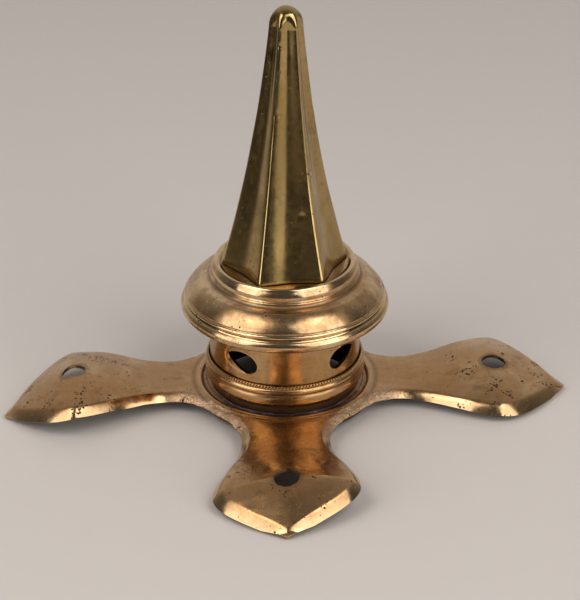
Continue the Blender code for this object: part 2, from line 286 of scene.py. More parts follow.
def settle(thing: bpy.types.Object) -> None:
    """Apply an object's modifiers to its mesh."""
    view = bpy.context.evaluated_depsgraph_get()
    mesh = bpy.data.meshes.new_from_object(thing.evaluated_get(view), depsgraph=view)
    old = thing.data
    thing.modifiers.clear()
    thing.data = mesh
    mesh.name = thing.name
    bpy.data.meshes.remove(old)


def pierce(thing: bpy.types.Object, cutters: list[bpy.types.Object]) -> None:
    """Cut holes with closed tools and remove the tools."""
    for cutter in cutters:
        boolean = thing.modifiers.new(cutter.name, "BOOLEAN")
        boolean.operation = "DIFFERENCE"
        boolean.solver = "EXACT"
        boolean.object = cutter
    settle(thing)
    for cutter in cutters:
        mesh = cutter.data
        bpy.data.objects.remove(cutter)
        bpy.data.meshes.remove(mesh)


def give_wall(thing: bpy.types.Object) -> None:
    """Give a surface a wall of sheet thickness on its inner side, which takes the second material."""
    wall = thing.modifiers.new("sheet", "SOLIDIFY")
    wall.thickness = SHEET
    wall.offset = -1.0
    wall.material_offset = 1


def prism(name: str, outline: Array, axis: Array, depth: float) -> bpy.types.Object:
    """Closed tool: an outline of points carried both ways along an axis by half of depth."""
    ends = np.stack((outline - axis * depth / 2, outline + axis * depth / 2))
    hubs = np.broadcast_to(ends.mean(1, keepdims=True), ends.shape)
    rows = np.stack((hubs[0], ends[0], ends[1], hubs[1]))
    mesh = build_mesh(name, [Patch(rows)])
    build = bmesh.new()
    build.from_mesh(mesh)
    bmesh.ops.recalc_face_normals(build, faces=build.faces)
    build.to_mesh(mesh)
    build.free()
    tool = bpy.data.objects.new(name, mesh)
    bpy.context.scene.collection.objects.link(tool)
    tool.hide_render = True
    return tool


def hand_over(thing: bpy.types.Object, body: Body, node: str) -> None:
    """Parent a piece to the empty of the body that it rides on, hide the solid that it stands for and log
    its faces.
    """
    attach(thing, body.value)
    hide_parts(node)
    log.info("%s: %d faces on %s", thing.name, len(thing.data.polygons), body.value)


def lay(name: str, patch: Patch, finish: "MetalFinish", body: Body, node: str) -> None:
    """Make a piece out of one patch in one finish and hand it over."""
    mesh = build_mesh(name, [patch])
    shade(mesh)
    hand_over(place(name, mesh, [finish.build()]), body, node)


# ---------------------------------------------------------------- finishes

class Nodes:
    """Short calls that add shader nodes to one material."""

    def __init__(self, material: bpy.types.Material) -> None:
        """Start from a material's Principled shader."""
        material.use_nodes = True
        self.tree = material.node_tree
        self.shader = self.tree.nodes["Principled BSDF"]
        self.object_place = self.add("ShaderNodeTexCoord").outputs["Object"]

    def add(self, kind: str) -> bpy.types.Node:
        """Add a node of a kind."""
        return self.tree.nodes.new(kind)

    def link(self, source: bpy.types.NodeSocket, target: bpy.types.NodeSocket) -> None:
        """Join two sockets."""
        self.tree.links.new(source, target)

    def feed(self, target: bpy.types.NodeSocket, value: bpy.types.NodeSocket | float) -> None:
        """Give a socket a link or a number."""
        if isinstance(value, bpy.types.NodeSocket):
            self.link(value, target)
        else:
            target.default_value = value

    def math(self, kind: str, a: bpy.types.NodeSocket | float, b: bpy.types.NodeSocket | float = 0.0,
             clamp: bool = False) -> bpy.types.NodeSocket:
        """Arithmetic on two values."""
        node = self.add("ShaderNodeMath")
        node.operation = kind
        node.use_clamp = clamp
        self.feed(node.inputs[0], a)
        self.feed(node.inputs[1], b)
        return node.outputs[0]

    def stretched(self, scale: tuple[float, float, float], turn: float = 0.0) -> bpy.types.NodeSocket:
        """Object place, turned about Z and stretched."""
        node = self.add("ShaderNodeMapping")
        node.inputs["Scale"].default_value = scale
        node.inputs["Rotation"].default_value = (0.0, 0.0, turn)
        self.link(self.object_place, node.inputs["Vector"])
        return node.outputs[0]

    def noise(self, size: float, detail: float = 3.0, roughness: float = 0.5,
              place: bpy.types.NodeSocket | None = None) -> bpy.types.NodeSocket:
        """Cloudy noise whose features are about size metres, or one unit of a stretched place."""
        node = self.add("ShaderNodeTexNoise")
        node.inputs["Scale"].default_value = 1.0 if place else 1.0 / size
        node.inputs["Detail"].default_value = detail
        node.inputs["Roughness"].default_value = roughness
        self.link(place or self.object_place, node.inputs["Vector"])
        return node.outputs["Fac"]

    def cells(self, size: float) -> bpy.types.NodeSocket:
        """Distance to the nearest of scattered points, about size metres apart."""
        node = self.add("ShaderNodeTexVoronoi")
        node.inputs["Scale"].default_value = 1.0 / size
        self.link(self.object_place, node.inputs["Vector"])
        return node.outputs["Distance"]

    def window(self, value: bpy.types.NodeSocket, low: float, high: float) -> bpy.types.NodeSocket:
        """Smooth step of a value from low to high."""
        node = self.add("ShaderNodeMapRange")
        node.interpolation_type = "SMOOTHSTEP"
        node.inputs["From Min"].default_value = low
        node.inputs["From Max"].default_value = high
        self.link(value, node.inputs["Value"])
        return node.outputs["Result"]

    def mark(self, name: str) -> bpy.types.NodeSocket:
        """Value of a mark stored on the mesh."""
        node = self.add("ShaderNodeAttribute")
        node.attribute_name = name
        return node.outputs["Fac"]

    def blend(self, share: bpy.types.NodeSocket, low: bpy.types.NodeSocket | Colour,
              high: bpy.types.NodeSocket | Colour) -> bpy.types.NodeSocket:
        """Mix two colours by a share."""
        node = self.add("ShaderNodeMix")
        node.data_type = "RGBA"
        self.link(share, node.inputs["Factor"])
        for socket, value in ((node.inputs["A"], low), (node.inputs["B"], high)):
            if isinstance(value, bpy.types.NodeSocket):
                self.link(value, socket)
            else:
                socket.default_value = (*value, 1.0)
        return node.outputs["Result"]

    def bump(self, height: bpy.types.NodeSocket, distance: float, strength: float,
             after: bpy.types.NodeSocket | None = None) -> bpy.types.NodeSocket:
        """Tilt the normal by a height of so many metres, on top of an earlier bump."""
        node = self.add("ShaderNodeBump")
        node.inputs["Distance"].default_value = distance
        node.inputs["Strength"].default_value = strength
        self.link(height, node.inputs["Height"])
        if after:
            self.link(after, node.inputs["Normal"])
        return node.outputs["Normal"]


@dataclass(frozen=True)
class MetalFinish:
    """Worn copper alloy.

    Attributes:
        name: Material name.
        clean: Colour of rubbed metal.
        patina: Colour of handled, tarnished metal.
        stain: Colour of darker clouds in the patina.
        dirt_and_shade: Colour in pits, and painted shade in hollows, on inner sides and at joints.
        crust: Colour of rough, pitted skin.
        shine: Roughness of clean metal.
        dull: Roughness of tarnished metal.
        cloud: Size of the patina's clouds, in metres.
        tarnish: Share of the surface that is tarnished, from 0 to 1; above 1 nothing is left clean.
        pit: Size of the corrosion pits, in metres.
        pitting: How much of the marked places is pitted, from 0 to 1.
        grain: Direction of the fine marks.
        scratch: Height of the fine marks, in metres.
        wave: Height of the hammered unevenness, in metres.
    """

    name: str
    clean: Colour
    patina: Colour
    stain: Colour
    # Near black: the colour of pits and of painted shade.
    dirt_and_shade: Colour = (0.030, 0.017, 0.010)
    crust: Colour = (0.66, 0.44, 0.33)
    shine: float = 0.16
    dull: float = 0.30
    cloud: float = 9 * MM
    tarnish: float = 0.5
    pit: float = 1.0 * MM
    pitting: float = 0.5
    grain: Grain = Grain.CROSSED
    scratch: float = 0.004 * MM
    wave: float = 0.010 * MM

    def build(self) -> bpy.types.Material:
        """Make the material."""
        material = bpy.data.materials.new(self.name)
        nodes = Nodes(material)
        clouds = nodes.noise(self.cloud, 5.0, 0.62)
        mottle = nodes.noise(1.3 * MM, 4.0, 0.6)
        polish = nodes.mark("polish")
        edge = 0.72 - 0.5 * self.tarnish
        cover = nodes.window(clouds, edge - 0.16, edge + 0.16)
        cover = nodes.math("ADD", cover, nodes.math("MULTIPLY", nodes.math("SUBTRACT", mottle, 0.5), 0.9))
        cover = nodes.math("SUBTRACT", cover, polish, clamp=True)
        colour = nodes.blend(cover, self.clean, self.patina)
        blotch = nodes.window(nodes.noise(self.cloud * 0.42, 6.0, 0.7), 0.52, 0.72)
        blotch = nodes.math("MULTIPLY", blotch, nodes.math("SUBTRACT", 1.0, polish, clamp=True), clamp=True)
        colour = nodes.blend(nodes.math("MULTIPLY", blotch, 0.75), colour, self.stain)
        crust = nodes.window(nodes.noise(0.7 * MM, 4.0, 0.65), 0.42, 0.60)
        crust = nodes.math("MULTIPLY", crust, nodes.mark("rough"), clamp=True)
        colour = nodes.blend(crust, colour, self.crust)
        pits = self.pits(nodes)
        # Painted shade: the grime mark lays the near-black colour on hollows, inner sides, joints and the
        # front of the well as if they lay in shadow, besides real dirt; pits add real dark specks.
        grime_and_shade = nodes.math("ADD", nodes.mark("grime_and_shade"), 0.0, clamp=True)
        dirt_and_shade = nodes.math("MAXIMUM", nodes.math("MULTIPLY", pits, 0.92), grime_and_shade)
        colour = nodes.blend(dirt_and_shade, colour, self.dirt_and_shade)
        nodes.link(colour, nodes.shader.inputs["Base Color"])
        nodes.link(self.roughness(nodes, cover, mottle, dirt_and_shade), nodes.shader.inputs["Roughness"])
        nodes.shader.inputs["Metallic"].default_value = 1.0
        nodes.link(self.relief(nodes, pits), nodes.shader.inputs["Normal"])
        return material

    def pits(self, nodes: Nodes) -> bpy.types.NodeSocket:
        """Specks round scattered points, in clusters and where the mesh is marked as pitted."""
        cluster = nodes.window(nodes.noise(5.5 * MM, 3.0, 0.6), 0.50, 0.66)
        wanted = nodes.math("MULTIPLY", nodes.mark("pitted"), nodes.math("ADD", cluster, 0.12), clamp=True)
        uneven = nodes.math("MULTIPLY", nodes.math("SUBTRACT", nodes.noise(0.35 * MM, 3.0), 0.5), 0.8)
        distance = nodes.math("ADD", nodes.cells(self.pit), uneven)
        reach = nodes.math("MULTIPLY", wanted, 0.42 * self.pitting)
        inside = nodes.math("SUBTRACT", reach, distance)
        return nodes.window(inside, -0.03, 0.05)

    def roughness(self, nodes: Nodes, cover: bpy.types.NodeSocket, mottle: bpy.types.NodeSocket,
                  dirt_and_shade: bpy.types.NodeSocket) -> bpy.types.NodeSocket:
        """Shine of clean metal, dulled by patina, mottling, pits, dirt and the places of painted shade."""
        tarnished = nodes.math("MULTIPLY", cover, self.dull - self.shine)
        value = nodes.math("ADD", tarnished, self.shine)
        value = nodes.math("ADD", value, nodes.math("MULTIPLY", nodes.math("SUBTRACT", mottle, 0.5), 0.12))
        return nodes.math("ADD", value, nodes.math("MULTIPLY", dirt_and_shade, 0.35), clamp=True)

    def relief(self, nodes: Nodes, pits: bpy.types.NodeSocket) -> bpy.types.NodeSocket:
        """Hammered unevenness, fine polishing marks, grit where the mesh is marked rough, and pits."""
        waves = nodes.noise(3.2 * MM, 3.0, 0.5)
        normal = nodes.bump(waves, self.wave, 1.0)
        marks = nodes.noise(1.0, 2.0, 0.6, nodes.stretched(self.grain.value, 0.7))
        normal = nodes.bump(marks, self.scratch, 1.0, normal)
        grit = nodes.math("MULTIPLY", nodes.noise(0.7 * MM, 4.0, 0.7), nodes.mark("rough"))
        normal = nodes.bump(grit, 0.35 * MM, 1.0, normal)
        sunk = nodes.math("SUBTRACT", 1.0, pits)
        return nodes.bump(sunk, 0.12 * MM, 1.0, normal)


SPIKE_BRASS = MetalFinish(
    "spike_brass", clean=(0.50, 0.36, 0.155), patina=(0.36, 0.245, 0.092), stain=(0.24, 0.155, 0.052),
    shine=0.10, dull=0.19, cloud=14 * MM, tarnish=0.55, pit=1.4 * MM, pitting=0.45,
    grain=Grain.ALONG_THE_AXIS, scratch=0.002 * MM, wave=0.002 * MM,
)
COLLAR_TOMBAC = MetalFinish(
    "collar_tombac", clean=(0.74, 0.55, 0.32), patina=(0.48, 0.285, 0.135), stain=(0.28, 0.135, 0.06),
    shine=0.13, dull=0.24, cloud=8 * MM, tarnish=0.55, pit=0.75 * MM, pitting=0.85,
    grain=Grain.ROUND_THE_AXIS, scratch=0.002 * MM, wave=0.008 * MM,
)
NECK_TOMBAC = MetalFinish(
    "neck_tombac", clean=(0.58, 0.37, 0.18), patina=(0.47, 0.27, 0.11), stain=(0.34, 0.165, 0.06),
    shine=0.16, dull=0.27, cloud=7 * MM, tarnish=0.55, pit=1.0 * MM, pitting=0.5,
    grain=Grain.ROUND_THE_AXIS, scratch=0.002 * MM, wave=0.008 * MM,
)
BASE_TOMBAC = MetalFinish(
    "base_tombac", clean=(0.62, 0.42, 0.225), patina=(0.48, 0.275, 0.125), stain=(0.34, 0.17, 0.07),
    dirt_and_shade=(0.048, 0.027, 0.016), shine=0.14, dull=0.26, cloud=12 * MM, tarnish=0.62, pit=0.85 * MM,
    pitting=1.0, grain=Grain.CROSSED, scratch=0.003 * MM, wave=0.012 * MM,
)
# Painted shade: the inner sides of the sheets, the inside of the neck and the underside of the base are
# coloured near black as if in shadow, over a dark tarnish.
INNER_TARNISH_AND_SHADE = MetalFinish(
    "inner_tarnish_and_shade", clean=(0.16, 0.10, 0.055), patina=(0.075, 0.047, 0.028), stain=(0.04, 0.027, 0.018),
    shine=0.45, dull=0.65, cloud=6 * MM, tarnish=0.7, pitting=0.0, scratch=0.004 * MM,
)
FERRULE_BRASS = MetalFinish(
    "ferrule_brass", clean=(0.62, 0.48, 0.22), patina=(0.44, 0.31, 0.13), stain=(0.30, 0.19, 0.08),
    shine=0.24, dull=0.36, cloud=5 * MM, tarnish=0.5, pitting=0.2,
    grain=Grain.ROUND_THE_AXIS, scratch=0.005 * MM,
)
# Painted shade: soft solder whose tarnish is near black and covers it all, as the shadowed gap round the
# neck's foot; only the marked places show coppery metal.
SOLDER_WITH_PAINTED_SHADE = MetalFinish(
    "soft_solder", clean=(0.30, 0.17, 0.09), patina=(0.060, 0.042, 0.048), stain=(0.045, 0.028, 0.024),
    dirt_and_shade=(0.020, 0.012, 0.009), shine=0.34, dull=0.48, cloud=4 * MM, tarnish=1.3, pitting=0.6,
    scratch=0.008 * MM, wave=0.05 * MM,
)


# ---------------------------------------------------------------- spike

@dataclass(frozen=True)
class FlutedSpike:
    """Hollow sheet-brass spike: a flaring fluted hexagon with a round nose."""

    foot_radius: float = 15.6 * MM
    nose_radius: float = 4.2 * MM
    nose_height: float = 4.7 * MM
    flare: float = 2.2
    flare_share: float = 0.45
    yaw: float = radians(7.3)
    flute_depth: float = 0.62 * MM
    ridge_round: float = 4.6
    lean: float = 0.42 * MM
    foot_lip: float = 0.12 * MM
    foot_round: float = 0.15 * MM
    unevenness: float = 0.022 * MM
    nick_count: int = 16
    columns: int = 288
    rows: int = 168

    def section(self, height: Array, radius: Array, fade: Array, wall: float) -> Array:
        """Rings of the fluted hexagon.

        The radius is the inradius divided by the p-norm of the cosines to the six face directions,
        which is a hexagon with rounded ridges. A squared sine over each face hollows it, and fade
        blends the ring into a circle.

        Args:
            height: Height of each ring.
            radius: Ridge radius of each ring.
            fade: Roundness of each ring, from 0 to 1.
            wall: How far inside the outer skin the rings lie.

        Returns:
            Points on rings x columns.
        """
        angle = np.linspace(0, 2 * pi, self.columns, endpoint=False)
        faces = self.yaw + pi / 6 + np.arange(6) * pi / 3
        lean = np.clip(np.cos(angle[:, None] - faces), 0, None)
        power = np.clip(self.ridge_round * radius / MM, 14, 90)[:, None]
        norm = (lean[None] ** power[..., None]).sum(-1) ** (1 / power)
        flat = np.cos(pi / 6) / norm
        hollow = self.flute_depth / radius[:, None] * np.sin(3 * (angle - self.yaw)) ** 2
        scale = (flat - hollow) * (1 - fade[:, None]) + fade[:, None]
        reach = radius[:, None] * scale - wall
        return np.stack((reach * np.cos(angle), reach * np.sin(angle), height[:, None] + 0 * reach), -1)

    def ridge_radius(self, left: Array) -> Array:
        """Straight taper mixed with a power of the share of height left below the nose."""
        widening = (1 - self.flare_share) * left + self.flare_share * left ** self.flare
        return self.nose_radius + (self.foot_radius - self.nose_radius) * widening

    def skin(self, foot: float, top: float, rows: int, wall: float) -> Array:
        """Rings from the foot to the tip, crowded towards the nose, lying wall inside the skin."""
        nose = top - self.nose_height
        share = np.linspace(0, 1, rows) ** 0.9
        height = foot + (nose - foot) * share
        body = self.section(height, self.ridge_radius(1 - share), 0 * height, wall)
        angle = np.linspace(0, pi / 2, max(rows // 7, 5))[1:]
        shrink = 1 - wall / self.nose_height
        dome_radius = np.maximum(self.nose_radius * np.cos(angle), 1e-7)
        dome_height = nose + self.nose_height * shrink * np.sin(angle)
        dome = self.section(dome_height, dome_radius, ease(np.sin(angle)), 0.0)
        dome[..., :2] *= 1 - wall / self.nose_radius
        rings = np.concatenate((body, dome))
        rings[..., 0] += self.lean * ease((rings[..., 2] - foot) / (top - foot)) ** 2
        return rings

    def build(self) -> None:
        """Make the outer skin and the inner one, joined round the foot."""
        low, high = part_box("spike_shell")
        foot, top = low.z, high.z
        outer = self.skin(foot + self.foot_lip, top, self.rows, 0.0)
        dents = Ripple(16 * MM, self.unevenness, 5).at(outer)
        for nick in self.nicks(foot, top):
            dents -= nick.at(outer)
        settled = ease((outer[..., 2] - foot) / (3 * MM)) * ease((top - outer[..., 2]) / (2 * MM))
        spread = np.linalg.norm(outer[..., :2], axis=-1, keepdims=True)
        radial = np.concatenate((outer[..., :2] / np.maximum(spread, 1e-9), 0 * spread), -1)
        outer = outer + radial * (dents * settled)[..., None]
        inner = self.skin(foot + self.foot_lip, top, self.rows // 8, SHEET)
        lip_out, lip_in = outer[0].copy(), inner[0].copy()
        lip_out[:, :2] *= 1 - self.foot_round / self.foot_radius
        lip_in[:, :2] *= 1 + self.foot_round / self.foot_radius
        lip_out[:, 2] = lip_in[:, 2] = foot
        points = np.concatenate((inner[::-1], lip_in[None], lip_out[None], outer))
        height = points[..., 2]
        angle = np.arctan2(points[..., 1], points[..., 0])
        ridge = np.cos(3 * (angle - self.yaw)) ** 2
        rubbed = ease((ridge - 0.965) / 0.035) * ease((top - 5 * MM - height) / (4 * MM))
        # Painted shade: a dark band where the spike's foot meets the collar, with dirt, and the inner skin
        # coloured near black as if in shadow.
        foot_grime_and_shade = 0.75 * bell(height - foot, 0.45 * MM)
        inside = np.zeros(points.shape[:2])
        inside[: len(inner)] = 0.9
        pitted = np.clip(0.5 + Ripple(25 * MM, 0.4, 9).at(points), 0, 1)
        marks = {"grime_and_shade": np.maximum(foot_grime_and_shade, inside), "polish": 0.7 * rubbed, "pitted": pitted}
        skin = Patch(points, marks=marks, flip=True)
        lay("spike_skin", skin, SPIKE_BRASS, Body.SPIKE, "spike_shell")

    def nicks(self, foot: float, top: float) -> list[Hollow]:
        """Small bruises on the ridges and faces."""
        draw = np.random.default_rng(21)
        found = []
        for height in draw.uniform(foot + 6 * MM, top - 8 * MM, self.nick_count):
            left = (top - self.nose_height - height) / (top - self.nose_height - foot)
            radius = float(self.ridge_radius(np.array(left)))
            angle = draw.uniform(0, 2 * pi)
            spot = (radius * 0.9 * np.cos(angle), radius * 0.9 * np.sin(angle), height)
            found.append(Hollow(spot, draw.uniform(0.5, 1.3) * MM, draw.uniform(0.03, 0.10) * MM))
        return found


# ---------------------------------------------------------------- turned pieces

@dataclass(frozen=True)
class TurnedPiece:
    """A piece turned from a closed profile that runs down its outer side and back up inside."""

    name: str
    node: str
    slot: str
    body: Body
    finish: MetalFinish
    outer: Array
    inner: Array
    rows: int
    inner_rows: int
    columns: int = 320
    soften: float = 0.12 * MM
    unevenness: float = 0.012 * MM
    long_wave: float = 9 * MM
    short_wave: float = 3 * MM
    seed: int = 1
    plain_inside: bool = True

    def points(self) -> tuple[Array, int]:
        """Closed grid of the piece and the count of its outer rows."""
        outer = even(self.outer, self.rows, self.soften)
        inner = even(self.inner, self.inner_rows, self.soften)
        return revolve(np.concatenate((outer, inner)), self.columns), self.rows

    def displace(self, points: Array, facing: Array) -> Array:
        """Height added to each point along its normal: a long and a short unevenness."""
        long = Ripple(self.long_wave, self.unevenness, self.seed).at(points)
        return long + Ripple(self.short_wave, self.unevenness * 0.25, self.seed + 1).at(points)

    def marks(self, points: Array, outer_rows: int) -> dict[str, Array]:
        """Dirt and painted shade in the hollows of the profile and on the inner side, polish on its crests,
        pits in places.
        """
        profile = points[:, 0, ::2]
        along = np.roll(profile, -3, 0) - np.roll(profile, 3, 0)
        along /= np.maximum(np.linalg.norm(along, axis=1, keepdims=True), 1e-12)
        bend = np.cross(np.roll(along, 3, 0), np.roll(along, -3, 0))
        share = np.clip(bend, -1, 1)[:, None] + 0 * points[..., 0]
        inside = np.zeros(points.shape[:2])
        inside[outer_rows:] = 0.9
        crest, hollow = np.clip(-share, 0, 1), np.clip(share, 0, 1)
        pitted = np.clip(0.45 + Ripple(16 * MM, 0.5, self.seed + 2).at(points), 0, 1)
        # Painted shade: hollows of the profile are darkened and the inner side is coloured near black, as
        # if in shadow, besides dirt.
        grime_and_shade = np.maximum(0.45 * ease(hollow * 2.2 - 0.5), inside)
        return {"grime_and_shade": grime_and_shade, "polish": 0.8 * ease(crest), "pitted": pitted}

    def build(self) -> None:
        """Make the piece."""
        points, outer_rows = self.points()
        facing = outward(points, True, True)
        marks = self.marks(points, outer_rows)
        height = self.displace(points, facing)
        if self.plain_inside:
            height[outer_rows:] = 0.0
        points = points + facing * height[..., None]
        lay(self.name, Patch(points, loop=True, marks=marks), self.finish, self.body, self.node)


@dataclass(frozen=True)
class Collar:
    """Upper moulding with its lower lip; both are thin shells whose seam is the double groove."""

    hole_radius: float = 8.8
    seat_radius: float = 15.7
    seat_drop: float = 0.6
    rim_radius: float = 16.7
    rim_round: float = 0.7
    band_radius: float = 18.1
    band_drop: float = 2.5
    band_round: float = 2.9
    torus_radius: float = 25.8
    torus_drop: float = 3.9
    torus_round: float = 10.6
    groove_radius: float = 24.5
    lip_radius: float = 25.7
    lip_round: float = 1.65
    lip_rise: float = 1.75

    def shell_outline(self, top: float, bottom: float) -> Array:
        """Seat, rolled rim, rounded band, two fillets, cove, torus and fine bead, down to the groove."""
        seat = top - self.seat_drop
        band = top - self.band_drop
        side = self.band_radius
        return chain(
            [(self.hole_radius, seat), (self.seat_radius, seat)],
            arc((self.rim_radius, top - self.rim_round), self.rim_round, 128, 38, 10),
            arc((side - self.band_round, band), self.band_round, 38, -6),
            [(side + 0.16, band - 0.48), (side + 0.32, band - 0.58), (side + 0.20, band - 0.84)],
            [(side + 0.45, band - 0.98), (side + 0.36, band - 1.24), (side + 0.52, band - 1.50)],
            [(side + 0.85, band - 1.76), (side + 1.35, band - 1.94), (side + 1.90, band - 2.05)],
            arc((self.torus_radius - self.torus_round, bottom - self.torus_drop), self.torus_round, 59, 31),
            [(self.groove_radius - 0.30, bottom + 1.30), (self.groove_radius - 0.06, bottom + 1.12)],
            arc((self.groove_radius - 0.20, bottom + 0.62), 0.50, 70, -60, 8),
            [(self.groove_radius, bottom)],
        )

    def lip_outline(self, top: float, bottom: float) -> Array:
        """Rounded lip below the groove and the dish that returns to the neck."""
        centre = (self.lip_radius - self.lip_round, bottom + self.lip_rise)
        return chain(
            [(self.groove_radius, top), (self.groove_radius + 0.2, top + 0.02)],
            arc(centre, self.lip_round, 62, -80),
            [(22.4, bottom + 0.1), (19.25, bottom)],
        )

    def build(self) -> None:
        """Make both shells."""
        low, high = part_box("collar_shell")
        outline = self.shell_outline(high.z / MM, low.z / MM + 0.01)
        hidden = even(inset(even(outline, 60, 1.0 * MM), SHEET), 24)[::-1]
        TurnedPiece(
            "collar_moulding", "collar_shell", "tombac", Body.MOUNT, COLLAR_TOMBAC, outline, hidden,
            rows=150, inner_rows=24, soften=0.10 * MM, unevenness=0.016 * MM, seed=31,
        ).build()
        low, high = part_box("collar_dish")
        outline = self.lip_outline(high.z / MM + 0.22, low.z / MM)
        hidden = even(inset(even(outline, 50, 0.5 * MM), SHEET), 24)[::-1]
        TurnedPiece(
            "collar_lip", "collar_dish", "tombac", Body.MOUNT, COLLAR_TOMBAC, outline, hidden,
            rows=84, inner_rows=24, soften=0.07 * MM, unevenness=0.012 * MM, seed=41,
        ).build()


@dataclass(frozen=True)
class MilledRing(TurnedPiece):
    """Ring round the foot of the neck, with slanted notches milled in its upper edge."""

    notches: int = 150
    notch_z: float = 12.52 * MM
    notch_half_height: float = 0.34 * MM
    notch_depth: float = 0.30 * MM
    slant: float = 0.35

    def wave(self, points: Array) -> tuple[Array, Array]:
        """Slanted cosine round the axis, from 0 to 1, and the height from the notches' middle."""
        angle = np.arctan2(points[..., 1], points[..., 0])
        rise = (points[..., 2] - self.notch_z) / self.notch_half_height
        return 0.5 + 0.5 * np.cos(self.notches * angle - self.slant * rise * pi), rise

    def displace(self, points: Array, facing: Array) -> Array:
        """Unevenness, less the notches: a sharpened cosine round the axis in a band of height."""
        height = super().displace(points, facing)
        wave, rise = self.wave(points)
        return height - self.notch_depth * ease(wave * 1.5 - 0.4) * bell(rise, 1.0) * (facing[..., 2] < 0.9)

    def marks(self, points: Array, outer_rows: int) -> dict[str, Array]:
        """Dirt and painted shade in the notches and at the ring's foot, besides the hollows."""
        marks = super().marks(points, outer_rows)
        wave, rise = self.wave(points)
        # Painted shade: the milled notches are darkened as if in shadow, besides dirt.
        notch_grime_and_shade = 0.95 * ease(wave * 1.6 - 0.55) * bell(rise, 0.9)
        marks["grime_and_shade"] = np.maximum(marks["grime_and_shade"], notch_grime_and_shade)
        return marks


@dataclass(frozen=True)
class SolderFillet(TurnedPiece):
    """Ring of soft solder run into the well, with a lumpy skin."""

    fill: float = 0.75 * MM
    front_half: float = radians(38)
    front_fade: float = radians(30)

    def displace(self, points: Array, facing: Array) -> Array:
        """Lumps a tenth of a millimetre high, and a swelling upwards away from the front."""
        lumps = Ripple(4 * MM, 0.07 * MM, self.seed).at(points)
        lumps = lumps + Ripple(1.6 * MM, 0.03 * MM, self.seed + 1).at(points)
        swelling = self.fill * self.filled(points) * np.clip(facing[..., 2], 0, 1) ** 2
        return np.clip(lumps, -0.15 * MM, 0.12 * MM) + swelling

    def filled(self, points: Array) -> Array:
        """How full the well is: 0 at the front and 1 at the sides and back."""
        angle = np.arctan2(points[..., 0], -points[..., 1])
        return ease((np.abs(angle) - self.front_half) / self.front_fade)

    def marks(self, points: Array, outer_rows: int) -> dict[str, Array]:
        """Coppery where the well is full and near black at the front as painted shade, pitted all round."""
        marks = super().marks(points, outer_rows)
        marks["polish"] = self.filled(points)
        marks["pitted"] = 0.8 + 0 * marks["pitted"]
        return marks


@dataclass(frozen=True)
class ThreadedPiece(TurnedPiece):
    """A turned piece with a helical thread on part of its outer or inner side."""

    plain_inside: bool = False
    pitch: float = 1.0 * MM
    thread_depth: float = 0.42 * MM
    thread_low: float = 0.0
    thread_high: float = 0.0
    thread_radius: float = 0.0
    runout: float = 0.5 * MM
    side_reach: float = 0.08 * MM
    grime_and_shade: float = 0.25

    def displace(self, points: Array, facing: Array) -> Array:
        """Rounded triangular thread: a wave of height less pitch times the turn, cut into the side."""
        angle = np.arctan2(points[..., 1], points[..., 0])
        radius = np.hypot(points[..., 0], points[..., 1])
        turns = points[..., 2] / self.pitch - angle / (2 * pi)
        wave = np.abs(2 * (turns - np.floor(turns)) - 1)
        here = (np.abs(radius - self.thread_radius) < self.side_reach)
        start = ease((points[..., 2] - self.thread_low) / self.runout)
        end = ease((self.thread_high - points[..., 2]) / self.runout)
        return -self.thread_depth * ease(wave) * (start * end) * here

    def marks(self, points: Array, outer_rows: int) -> dict[str, Array]:
        """Light grime all over, besides the polish and the pits."""
        marks = super().marks(points, outer_rows)
        marks["grime_and_shade"] = self.grime_and_shade + 0 * marks["grime_and_shade"]
        return marks


@dataclass(frozen=True)
class ScrewJoint:
    """Threaded ferrule in the spike's foot and the bush under the collar's seat."""

    stem_radius: float = 7.0
    ferrule_radius: float = 10.6
    bore: float = 4.2
    bush_bore: float = 7.3
    bush_wall: float = 9.6
    spigot_radius: float = 8.4
    flange_radius: float = 13.0
    flange_thickness: float = 1.2
    spigot_height: float = 1.1
    ferrule_foot: float = 38.15
    chamfer: float = 0.6

    def build(self) -> None:
        """Make the ferrule with its outside thread and the bush with its inside one."""
        low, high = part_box("spike_ferrule")
        top, bottom, seat = high.z / MM, low.z / MM, self.ferrule_foot
        ThreadedPiece(
            "ferrule_stem", "spike_ferrule", "ferrule_brass", Body.THREAD, FERRULE_BRASS,
            chain([(self.bore, top), (self.ferrule_radius, top), (self.ferrule_radius, seat),
                   (self.stem_radius, seat), (self.stem_radius, bottom + self.chamfer),
                   (self.stem_radius - self.chamfer, bottom), (self.bore, bottom)]),
            chain([(self.bore, bottom + 0.2), (self.bore, top - 0.2)]),
            rows=190, inner_rows=20, columns=160, soften=0.05 * MM, thread_radius=self.stem_radius * MM,
            thread_low=low.z + 0.3 * MM, thread_high=seat * MM - 0.5 * MM,
        ).build()
        low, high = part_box("threaded_bush")
        top, bottom = high.z / MM, low.z / MM
        shelf = top - self.spigot_height
        ledge = shelf - self.flange_thickness
        ThreadedPiece(
            "bush_turned", "threaded_bush", "ferrule_brass", Body.MOUNT, FERRULE_BRASS,
            chain([(self.spigot_radius, top), (self.spigot_radius, shelf), (self.flange_radius, shelf),
                   (self.flange_radius, ledge), (self.bush_wall, ledge), (self.bush_wall, bottom),
                   (self.bush_bore, bottom)]),
            chain([(self.bush_bore, bottom + 0.1), (self.bush_bore, top)]),
            rows=90, inner_rows=90, columns=160, soften=0.05 * MM, thread_radius=self.bush_bore * MM,
            thread_low=low.z + 0.2 * MM, thread_high=high.z - 0.2 * MM, thread_depth=-0.12 * MM,
        ).build()


# ---------------------------------------------------------------- neck

